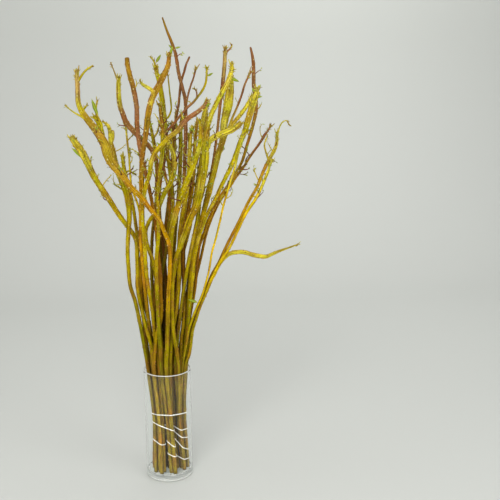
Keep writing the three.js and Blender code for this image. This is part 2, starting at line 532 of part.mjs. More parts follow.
// Settling: at every level, stems that come too near push each other apart.
// Each stem spreads its shift along its length so that it stays a smooth bend.
// Inside the vase the stems are also kept within its glass.
function support(branch, k, nx, ny) {
  const angle = branch.face[k];
  const across = nx * Math.cos(angle) + ny * Math.sin(angle);
  const through = ny * Math.cos(angle) - nx * Math.sin(angle);
  const low = Math.max(k - 1, branch.from);
  const high = Math.min(k + 1, branch.to);
  const rise = Math.max(high - low, 1) * STEP;
  const lean = ((branch.x[high] - branch.x[low]) * nx + (branch.y[high] - branch.y[low]) * ny) / rise;
  const half = Math.hypot(across * branch.width[k], through * branch.thick[k]) / 2;
  return half * FLATS_ALLOWANCE * Math.sqrt(1 + Math.min(lean * lean, 2));
}

function girthAt(z) {
  const waist = Math.exp(-(((z - WAIST_HEIGHT) / 60) ** 2));
  const foot = 3 * Math.exp(-(((z - FOOT_HEIGHT) / 25) ** 2));
  return VASE_INSIDE - foot - (VASE_INSIDE - WAIST_GIRTH) * waist;
}

function gapAt(a, b, z) {
  if (z < BANDS_BELOW && a.bundle !== b.bundle) return GAP_AT_BANDS;
  return GAP_IN_BUNDLE + (GAP_ABOVE - GAP_IN_BUNDLE) * ease((z - VASE_HEIGHT) / 60);
}

function settle(branches) {
  const top = Math.max(...branches.map((branch) => branch.to));
  for (let round = 0; round < SETTLE_ROUNDS; round += 1) {
    for (const branch of branches) {
      branch.pushX = new Array(branch.to + 1).fill(0);
      branch.pushY = new Array(branch.to + 1).fill(0);
    }
    for (let k = FOOT_LEVEL; k <= top; k += 1) {
      const here = branches.filter((branch) => branch.from <= k && branch.to >= k);
      for (let i = 0; i < here.length; i += 1) {
        const a = here[i];
        if (k * STEP < BANDS_BELOW) {
          const mates = here.filter((branch) => branch.stem.bundle === a.stem.bundle);
          const middleX = mates.reduce((sum, mate) => sum + mate.x[k], 0) / mates.length;
          const middleY = mates.reduce((sum, mate) => sum + mate.y[k], 0) / mates.length;
          a.pushX[k] += (middleX - a.x[k]) * BUNDLE_PULL;
          a.pushY[k] += (middleY - a.y[k]) * BUNDLE_PULL;
        }
        for (let j = i + 1; j < here.length; j += 1) {
          const b = here[j];
          if (a.stem === b.stem) continue;
          const dx = a.x[k] - b.x[k];
          const dy = a.y[k] - b.y[k];
          const distance = Math.hypot(dx, dy) + 1e-6;
          if (distance > 40) continue;
          const nx = dx / distance;
          const ny = dy / distance;
          const gap = gapAt(a.stem, b.stem, k * STEP);
          const short = support(a, k, nx, ny) + support(b, k, nx, ny) + gap - distance;
          if (short <= 0) continue;
          a.pushX[k] += nx * short * SETTLE_RATE;
          a.pushY[k] += ny * short * SETTLE_RATE;
          b.pushX[k] -= nx * short * SETTLE_RATE;
          b.pushY[k] -= ny * short * SETTLE_RATE;
        }
        if (k <= RIM_LEVEL + 1) {
          const radius = Math.hypot(a.x[k], a.y[k]) + 1e-6;
          const over = radius + support(a, k, a.x[k] / radius, a.y[k] / radius) - girthAt(k * STEP);
          if (over > 0) {
            a.pushX[k] -= (a.x[k] / radius) * over;
            a.pushY[k] -= (a.y[k] / radius) * over;
          }
        }
      }
    }
    for (const branch of branches) {
      const spread = (move, push) => {
        const next = move.map((value, k) => value + push[k]);
        for (let k = branch.from; k <= branch.to; k += 1) {
          const below = next[Math.max(k - 1, branch.from)];
          const above = next[Math.min(k + 1, branch.to)];
          move[k] = 0.2 * below + 0.6 * next[k] + 0.2 * above;
        }
      };
      const oldX = branch.moveX.slice();
      const oldY = branch.moveY.slice();
      spread(branch.moveX, branch.pushX);
      spread(branch.moveY, branch.pushY);
      if (branch.parent) {
        branch.moveX[branch.from] = branch.parent.moveX[branch.from];
        branch.moveY[branch.from] = branch.parent.moveY[branch.from];
      }
      for (let k = branch.from; k <= branch.to; k += 1) {
        branch.x[k] += branch.moveX[k] - oldX[k];
        branch.y[k] += branch.moveY[k] - oldY[k];
      }
    }
  }
}

function at(branch, values, z) {
  const place = THREE.MathUtils.clamp(z / STEP, branch.from, branch.to);
  const k = Math.min(Math.floor(place), branch.to - 1);
  return values[k] + (values[k + 1] - values[k]) * (place - k);
}

// Solids
function solid(corners, faces) {
  const vertProperties = new Float32Array(corners.flatMap((p) => [p.x, p.y, p.z]));
  const triVerts = new Uint32Array(faces.flat());
  return new wasm.Manifold(new wasm.Mesh({ numProp: 3, vertProperties, triVerts }));
}

function loft(rings, closed = false) {
  const count = rings[0].length;
  const faces = [];
  const last = closed ? rings.length : rings.length - 1;
  for (let r = 0; r < last; r += 1) {
    const next = (r + 1) % rings.length;
    for (let j = 0; j < count; j += 1) {
      const side = (j + 1) % count;
      const a = r * count + j;
      const b = r * count + side;
      const c = next * count + side;
      const d = next * count + j;
      faces.push([a, b, c], [a, c, d]);
    }
  }
  if (!closed) {
    const end = (rings.length - 1) * count;
    for (let j = 1; j < count - 1; j += 1) {
      faces.push([0, j + 1, j], [end, end + j, end + j + 1]);
    }
  }
  return solid(rings.flat(), faces);
}

function frameAt(path, i) {
  const before = path[Math.max(i - 1, 0)].point;
  const after = path[Math.min(i + 1, path.length - 1)].point;
  const along = after.clone().sub(before).normalize();
  const face = path[i].face;
  const out = new THREE.Vector3(Math.sin(face), -Math.cos(face), 0);
  const across = along.clone().cross(out).normalize();
  const through = across.clone().cross(along).normalize();
  return { along, across, through };
}

function ringAt(path, i, sides) {
  const { point, width, thick } = path[i];
  const { across, through } = frameAt(path, i);
  const ring = [];
  for (let j = 0; j < sides; j += 1) {
    const angle = (2 * Math.PI * j) / sides;
    ring.push(point.clone()
      .addScaledVector(across, (width / 2) * FLATS_ALLOWANCE * Math.cos(angle))
      .addScaledVector(through, (-thick / 2) * FLATS_ALLOWANCE * Math.sin(angle)));
  }
  return ring;
}

function keepers(path, first, last, tolerance) {
  const line = new THREE.Line3(path[first].point, path[last].point);
  const foot = new THREE.Vector3();
  let worst = tolerance;
  let split = -1;
  for (let i = first + 1; i < last; i += 1) {
    line.closestPointToPoint(path[i].point, true, foot);
    const share = (i - first) / (last - first);
    const width = path[first].width + (path[last].width - path[first].width) * share;
    const miss = foot.distanceTo(path[i].point) + Math.abs(path[i].width - width) / 2;
    if (miss > worst) {
      worst = miss;
      split = i;
    }
  }
  if (split < 0) return [last];
  return [...keepers(path, first, split, tolerance), ...keepers(path, split, last, tolerance)];
}

function sweep(path, sides, flatFoot) {
  const kept = [0, ...keepers(path, 0, path.length - 1, OUTLINE_TOLERANCE)];
  const rings = kept.map((i) => ringAt(path, i, sides));
  if (flatFoot) rings[0].forEach((corner) => corner.setZ(FOOT_HEIGHT));
  return loft(rings);
}

function straightAt(path, z) {
  const kept = [0, ...keepers(path, 0, path.length - 1, OUTLINE_TOLERANCE)];
  const n = kept.findIndex((i) => path[i].point.z >= z);
  const a = path[kept[n - 1]];
  const b = path[kept[n]];
  const share = (z - a.point.z) / (b.point.z - a.point.z);
  const lean = Math.hypot(b.point.x - a.point.x, b.point.y - a.point.y) / (b.point.z - a.point.z);
  const width = a.width + (b.width - a.width) * share;
  return { x: a.point.x + (b.point.x - a.point.x) * share, y: a.point.y + (b.point.y - a.point.y) * share,
    r: (width / 2) * FLATS_ALLOWANCE * Math.sqrt(1 + lean * lean) };
}

function branchPath(branch) {
  const path = [];
  for (let k = branch.from; k <= branch.to; k += 1) {
    const point = new THREE.Vector3(branch.x[k], branch.y[k], k * STEP);
    path.push({ point, width: branch.width[k], thick: branch.thick[k], face: branch.face[k] });
  }
  if (!branch.parent) path[0].point.setZ(FOOT_HEIGHT);
  return path;
}

function twigPath(twig, branch) {
  const rootZ = twig.from;
  const root = new THREE.Vector3(at(branch, branch.x, rootZ), at(branch, branch.y, rootZ), rootZ);
  const moveX = at(branch, branch.moveX, rootZ);
  const moveY = at(branch, branch.moveY, rootZ);
  const points = [root];
  const last = twig.route.length;
  twig.route.forEach(([routeX, routeZ], i) => {
    const depth = root.y - moveY + twig.swing * ease((i + 1) / last);
    const [x, y, z] = alongSight(routeX, depth, routeZ);
    points.push(new THREE.Vector3(x + moveX, y + moveY, z));
  });
  const curve = new THREE.CatmullRomCurve3(points, false, "centripetal");
  const widths = [twig.route[0][2], ...twig.route.map((p) => p[2])];
  const count = 4 * last;
  const path = [];
  for (let i = 0; i <= count; i += 1) {
    const place = (i / count) * last;
    const n = Math.min(Math.floor(place), last - 1);
    const width = widths[n] + (widths[n + 1] - widths[n]) * (place - n);
    const point = curve.getPoint(i / count);
    const thick = Math.min(width, RIBBON_THICKNESS);
    path.push({ point, width, thick, face: at(branch, branch.face, rootZ) });
  }
  return path;
}

function spike(base, direction, radius, length, sides) {
  const helper = Math.abs(direction.z) < 0.9 ? new THREE.Vector3(0, 0, 1) : new THREE.Vector3(1, 0, 0);
  const u = direction.clone().cross(helper).normalize();
  const v = direction.clone().cross(u);
  const corners = [];
  const faces = [];
  for (let j = 0; j < sides; j += 1) {
    const angle = (2 * Math.PI * j) / sides;
    const corner = base.clone().addScaledVector(u, radius * Math.cos(angle));
    corners.push(corner.addScaledVector(v, radius * Math.sin(angle)));
    faces.push([j, (j + 1) % sides, sides]);
    if (j > 0 && j < sides - 1) faces.push([0, j + 1, j]);
  }
  corners.push(base.clone().addScaledVector(direction, length));
  return solid(corners, faces);
}

function leafBlade(base, reach, normal) {
  const along = reach.clone().normalize();
  const length = reach.length();
  const side = normal.clone().cross(along).normalize();
  const half = LEAF_WIDTH / 2;
  const outline = [[0, -0.9], [0.45, -half], [1, -0.5], [1, 0.5], [0.45, half], [0, 0.9]];
  const blade = (lift) => outline.map(([share, off]) => base.clone()
    .addScaledVector(along, share * length)
    .addScaledVector(side, off)
    .addScaledVector(normal, lift));
  return loft([blade(-LEAF_THICKNESS / 2), blade(LEAF_THICKNESS / 2)]);
}

// Laying out the stems
STEMS.forEach((stem, index) => {
  stem.index = index;
  stem.bundle = bundleOf(stem);
  stem.main = makeBranch(stem, stemPoints(stem), FOOT_LEVEL, null);
  stem.branches = [stem.main];
  for (const fork of stem.forks ?? []) {
    const from = Math.round(fork.from / STEP);
    stem.branches.push(makeBranch(stem, forkPoints(fork, stem.main), from, stem.main));
  }
});
const branches = STEMS.flatMap((stem) => stem.branches);
settle(branches);

function isClear(stem, point, radius) {
  const k = Math.round(point.z / STEP);
  for (const other of branches) {
    if (other.stem === stem || k < other.from - 1 || k > other.to + 1) continue;
    const level = THREE.MathUtils.clamp(k, other.from, other.to);
    const dx = point.x - other.x[level];
    const dy = point.y - other.y[level];
    const distance = Math.hypot(dx, dy) + 1e-6;
    if (distance < support(other, level, dx / distance, dy / distance) + radius + BUD_CLEAR) return false;
  }
  return true;
}

// Buds sit on all sides of a stem by the golden angle, pointing up and out.
function addBuds(stem, path, bodies) {
  let run = stem.index * 7;
  let count = stem.index;
  for (let i = 1; i < path.length - 1; i += 1) {
    run += path[i].point.distanceTo(path[i - 1].point);
    if (path[i].point.z < BUD_START || run < BUD_SPACING) continue;
    run = 0;
    count += 1;
    const { along, across, through } = frameAt(path, i);
    const angle = count * GOLDEN_ANGLE;
    const { point, width, thick } = path[i];
    const out = across.clone().multiplyScalar(Math.cos(angle) / width);
    out.addScaledVector(through, Math.sin(angle) / thick).normalize();
    const base = point.clone().addScaledVector(across, (width / 2 - 1.3) * Math.cos(angle))
      .addScaledVector(through, (thick / 2 - 1.3) * Math.sin(angle));
    const direction = along.clone().multiplyScalar(0.8).addScaledVector(out, 0.7).normalize();
    const tip = base.clone().addScaledVector(direction, BUD_LENGTH);
    if (isClear(stem, tip, 0.6)) bodies.push(spike(base, direction, BUD_RADIUS, BUD_LENGTH, 3));
  }
}

// A tip ends in a small tuft of stubs.
function addTuft(stem, path, stubs, bodies) {
  const i = path.length - 1;
  const { along, across, through } = frameAt(path, i);
  const { point, width, thick } = path[i];
  for (let n = 0; n < stubs; n += 1) {
    const angle = (2 * Math.PI * n) / stubs + stem.index;
    const side = across.clone().multiplyScalar(Math.cos(angle) * width);
    side.addScaledVector(through, Math.sin(angle) * thick);
    const base = point.clone().addScaledVector(along, -2.5).addScaledVector(side, 0.25);
    const direction = along.clone().addScaledVector(side.normalize(), 0.55).normalize();
    const length = STUB_LENGTH * (0.7 + 0.3 * Math.sin(3 * n + stem.index));
    const tip = base.clone().addScaledVector(direction, length);
    const radius = Math.min(STUB_RADIUS, width / 3);
    if (isClear(stem, tip, 0.6)) bodies.push(spike(base, direction, radius, length, 3));
  }
}

function addLeaf(stem, leaf, bodies) {
  const branch = stem.main;
  const base = new THREE.Vector3(at(branch, branch.x, leaf.at), at(branch, branch.y, leaf.at), leaf.at);
  const face = at(branch, branch.face, leaf.at);
  const normal = new THREE.Vector3(0.25 * Math.sin(face + 0.4), -1, 0.25).normalize();
  const reach = new THREE.Vector3(leaf.reach[0], -4, leaf.reach[1]);
  reach.addScaledVector(normal, -reach.dot(normal));
  bodies.push(leafBlade(base, reach, normal));
}

function stemSolid(stem) {
  const bodies = [];
  for (const branch of stem.branches) {
    const path = branchPath(branch);
    bodies.push(sweep(path, SIDES, !branch.parent));
    addBuds(stem, path, bodies);
    addTuft(stem, path, STUBS_AT_TIP, bodies);
  }
  for (const twig of stem.twigs ?? []) {
    const path = twigPath(twig, stem.main);
    bodies.push(sweep(path, TWIG_SIDES, false));
    addTuft(stem, path, STUBS_AT_TWIG, bodies);
  }
  for (const leaf of stem.leaves ?? []) addLeaf(stem, leaf, bodies);
  return bodies.reduce((whole, body) => whole.add(body));
}

// The vase is a thick-footed cylinder with a rounded lip.
function vaseSolid() {
  const outer = VASE_DIAMETER / 2;
  const inner = outer - VASE_WALL;
  const lip = VASE_LIP_ROUND;
  const cut = 0.29 * VASE_FOOT_ROUND;
  const profile = [
    [outer - VASE_FOOT_ROUND, 0],
    [outer - cut, cut],
    [outer, VASE_FOOT_ROUND],
    [outer, VASE_HEIGHT - lip],
    [outer - lip, VASE_HEIGHT],
    [inner + lip, VASE_HEIGHT],
    [inner, VASE_HEIGHT - lip],
    [inner, VASE_FLOOR + 3],
    [inner - 3, VASE_FLOOR],
  ];
  const rings = profile.map(([radius, z]) => {
    const ring = [];
    for (let j = 0; j < VASE_SIDES; j += 1) {
      const angle = (2 * Math.PI * j) / VASE_SIDES;
      ring.push(new THREE.Vector3(radius * Math.cos(angle), radius * Math.sin(angle), z));
    }
    return ring;
  });
  return loft(rings);
}

// A band's loop is the tight line round the stems it holds, with every stem that the loop would touch.
function bandSolid(band) {
  const [slopeX, slopeY] = band.slope;
  const discs = STEMS.map(({ main }) => {
    const path = branchPath(main);
    const level = straightAt(path, band.height);
    const disc = straightAt(path, band.height + slopeX * level.x + slopeY * level.y);
    return { ...disc, bundle: main.stem.bundle };
  });
  const directions = [];
  const count = band.bundles.length > 1 ? MAIN_BAND_POINTS : BAND_POINTS;
  for (let i = 0; i < count; i += 1) {
    const angle = (2 * Math.PI * i) / count;
    directions.push([Math.cos(angle), Math.sin(angle)]);
  }
  const held = new Set(discs.filter((disc) => band.bundles.includes(disc.bundle)));
  const room = 2 * BAND_GAP + BAND_THICKNESS;
  for (let grown = true; grown;) {
    grown = false;
    for (const disc of discs) {
      if (held.has(disc)) continue;
      const reach = directions.map(([u, v]) => disc.x * u + disc.y * v
        - Math.max(...[...held].map((d) => d.x * u + d.y * v + d.r)));
      if (Math.max(...reach) < disc.r + room) {
        held.add(disc);
        grown = true;
      }
    }
  }
  const rings = directions.map(([u, v]) => {
    const disc = [...held].reduce((a, b) => (b.x * u + b.y * v + b.r > a.x * u + a.y * v + a.r ? b : a));
    const near = disc.r + BAND_GAP;
    const z = band.height + slopeX * (disc.x + u * near) + slopeY * (disc.y + v * near);
    const corner = (out, up) => {
      const reach = near + out;
      return new THREE.Vector3(disc.x + u * reach, disc.y + v * reach, z + up);
    };
    return [corner(BAND_THICKNESS, BAND_WIDTH / 2), corner(BAND_THICKNESS, -BAND_WIDTH / 2),
      corner(0, -BAND_WIDTH / 2), corner(0, BAND_WIDTH / 2)];
  });
  return loft(rings, true);
}

function meshOf(name, body, material) {
  const { vertProperties, triVerts } = body.getMesh();
  const geometry = new THREE.BufferGeometry();
  geometry.setAttribute("position", new THREE.BufferAttribute(vertProperties, 3));
  geometry.setIndex(new THREE.BufferAttribute(triVerts, 1));
  geometry.computeVertexNormals();
  const mesh = new THREE.Mesh(geometry, material);
  mesh.name = name;
  return mesh;
}

const group = new THREE.Group();
const glass = new THREE.MeshStandardMaterial({ color: 0xdfe6e4, roughness: 0.03 });
glass.transparent = true;
glass.opacity = 0.3;
const rubber = new THREE.MeshStandardMaterial({ color: 0xebe8dc, roughness: 0.7 });
group.add(meshOf("vase", vaseSolid(), glass));
for (const stem of STEMS) {
  const bark = new THREE.MeshStandardMaterial({ color: TONES[stem.tone], roughness: 0.6 });
  group.add(meshOf(stem.name, stemSolid(stem), bark));
}
for (const band of BANDS) group.add(meshOf(band.name, bandSolid(band), rubber));

export default group;
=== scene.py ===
"""Fantail willow stems standing in a clear glass vase, held by white rubber bands.

Each stem is a ridged section swept along a settled route, with buds, shoots, a tuft, leaves and a cut foot.
The tables below are in millimetres. Finished meshes are in metres, +Z up, -Y towards the viewer.
"""
import json
import math

import bpy
import numpy as np
from mathutils import Matrix

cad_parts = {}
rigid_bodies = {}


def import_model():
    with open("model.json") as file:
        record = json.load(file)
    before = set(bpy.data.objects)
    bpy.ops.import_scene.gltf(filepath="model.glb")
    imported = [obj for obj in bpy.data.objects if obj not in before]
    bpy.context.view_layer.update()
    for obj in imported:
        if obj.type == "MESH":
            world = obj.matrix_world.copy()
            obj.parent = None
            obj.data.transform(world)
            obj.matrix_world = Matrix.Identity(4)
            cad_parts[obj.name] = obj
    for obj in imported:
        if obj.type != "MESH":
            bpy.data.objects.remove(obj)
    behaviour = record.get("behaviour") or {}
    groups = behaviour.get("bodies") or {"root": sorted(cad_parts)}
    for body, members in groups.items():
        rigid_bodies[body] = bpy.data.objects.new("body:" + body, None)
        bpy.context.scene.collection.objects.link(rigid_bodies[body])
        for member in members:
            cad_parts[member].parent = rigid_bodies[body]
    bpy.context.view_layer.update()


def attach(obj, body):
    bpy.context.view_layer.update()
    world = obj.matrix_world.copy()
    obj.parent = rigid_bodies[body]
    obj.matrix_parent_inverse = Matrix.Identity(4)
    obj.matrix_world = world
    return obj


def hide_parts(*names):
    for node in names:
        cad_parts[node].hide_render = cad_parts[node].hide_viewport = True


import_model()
MM = 0.001

# Vase
VASE_RADIUS = 52.0
VASE_HEIGHT = 250.0
VASE_WALL = 3.0
VASE_FLOOR = 14.0
VASE_SIDES = 144
FOOT_ROUND = 5.0
FLOOR_ROUND = 4.0
RIM_DEPTH = 1.6
FOOT_DEPTH = 5.5
# Shares of clear glass at the rim and foot; the rest is pale diffuse glass, a painted highlight.
RIM_CLEARNESS = 0.35
FOOT_CLEARNESS = 0.5

# Bands
BAND_SIDES = 12
BAND_TURNS = 180
BAND_HALF_HEIGHT = 1.05
BAND_HALF_THICKNESS = 0.42
BAND_SQUARENESS = 0.6
BAND_GAP = 0.55
BAND_REACH = 1.7
BAND_STEP = 1.2

# Stems
FOOT_HEIGHT = VASE_FLOOR + 0.5
STEP = 10.0
FOOT_LEVEL = 2
RIM_LEVEL = 25
WAIST_HEIGHT = 140.0
WAIST_SHARE = 0.84
FOOT_SHARE = 0.95
SWIRL = math.radians(18)
SPREAD = 1.8
SWAY, SWAY_LENGTH, SWAY_SHIFT = 11.0, 95.0, 1.9
SWAY_FROM, SWAY_OVER = 300.0, 250.0
TWIST, TWIST_LENGTH, TWIST_SHIFT = 10.0, 150.0, 2.0
THINNEST = 2.4
ROUND_BELOW = 330.0
FLAT_ABOVE = 640.0
RIBBON_THICKNESS = 5.4
FLATS_ALLOWANCE = 1.05
LOWER_GIRTH = 0.88
SLIM_BELOW = 660.0
FULL_ABOVE = 760.0
EYE_DISTANCE = 1900.0
EYE_HEIGHT = 948.0

# Settling
SETTLE_ROUNDS = 400
SETTLE_RATE = 0.3
GAP_IN_BUNDLE = 1.0
GAP_AT_BANDS = 3.0
GAP_ABOVE = 2.4
GAP_OVER = 60.0
FAR_APART = 40.0
STEEPEST = 2.0
SIDE_SHARE, OWN_SHARE = 0.2, 0.6
BUNDLE_PULL = 0.02
BANDS_BELOW = 160.0
BUNDLE_CENTRE = 15.0
VASE_INSIDE = VASE_RADIUS - VASE_WALL - 1.0
WAIST_GIRTH = 42.0
WAIST_REACH = 60.0
FILLET_ROOM, FILLET_REACH = 3.0, 25.0

# Surface detail. A tuft is its number of stubs and how far down they reach, shoots their gap and longest.
RING_STEP = 4.5
TWIG_STEP = 3.0
CURVE_POINTS = 6
TWIG_POINTS = 4
WIDE_SIDES = 48
STEM_SIDES = 30
TWIG_SIDES = 14
STUB_SIDES = 5
SHOOT_SIDES = 6
LEAF_SIDES = 8
BARK_SLOT, BUD_SLOT, LEAF_SLOT = 0, 1, 2
RIDGE_SPACINGS = (2.9, 4.7)
EDGE_CROWDING = 0.21 / 0.66
FOOT_CHIPS = 0.4
WIDE_FROM = 12.0
FRAYED_END = 7.0
STEM_TUFT = (14, 18.0)
TWIG_TUFT = (7, 12.0)
SHOOTS_FROM = 620.0
INNER_TIPS_BELOW = 840
INNER_SHOOTS = (17.0, 42.0)
OUTER_SHOOTS = (65.0, 20.0)
LEAFLET_PLACES = (1.0, 0.82, 0.6, 0.4)
LEAF_FORWARD = -4.0
GOLDEN_ANGLE = math.pi * (3 - math.sqrt(5))

# Heights where the bark's colour changes: where each change starts and how far it takes
LOW_FROM, LOW_OVER = 235.0, 60.0
MID_FROM, MID_OVER = 330.0, 170.0
HIGH_FROM, HIGH_OVER = 610.0, 150.0
CROWN_FROM, CROWN_OVER = 770.0, 70.0
CROWN_LENGTH = 80.0
TIP_LENGTH, TIP_OVER = 90.0, 45.0
LIVELY_FROM, LIVELY_OVER = 420.0, 250.0
PARTED_FROM, PARTED_OVER = 430.0, 220.0
TIED_BELOW, TIED_OVER = 215.0, 50.0
SCARS_FROM, SCARS_OVER = 255.0, 60.0
BUDS_FROM, BUDS_OVER = 430.0, 230.0
DEEPEST_SHADE = 0.9

# Square millimetres of bark to each bud, at the foot, above the vase and at the crown. The length round an
# oval is about its width and thickness together, times the outline's share.
AREA_LOW, AREA_MID, AREA_HIGH = 330.0, 200.0, 85.0
OUTLINE_SHARE = 1.57

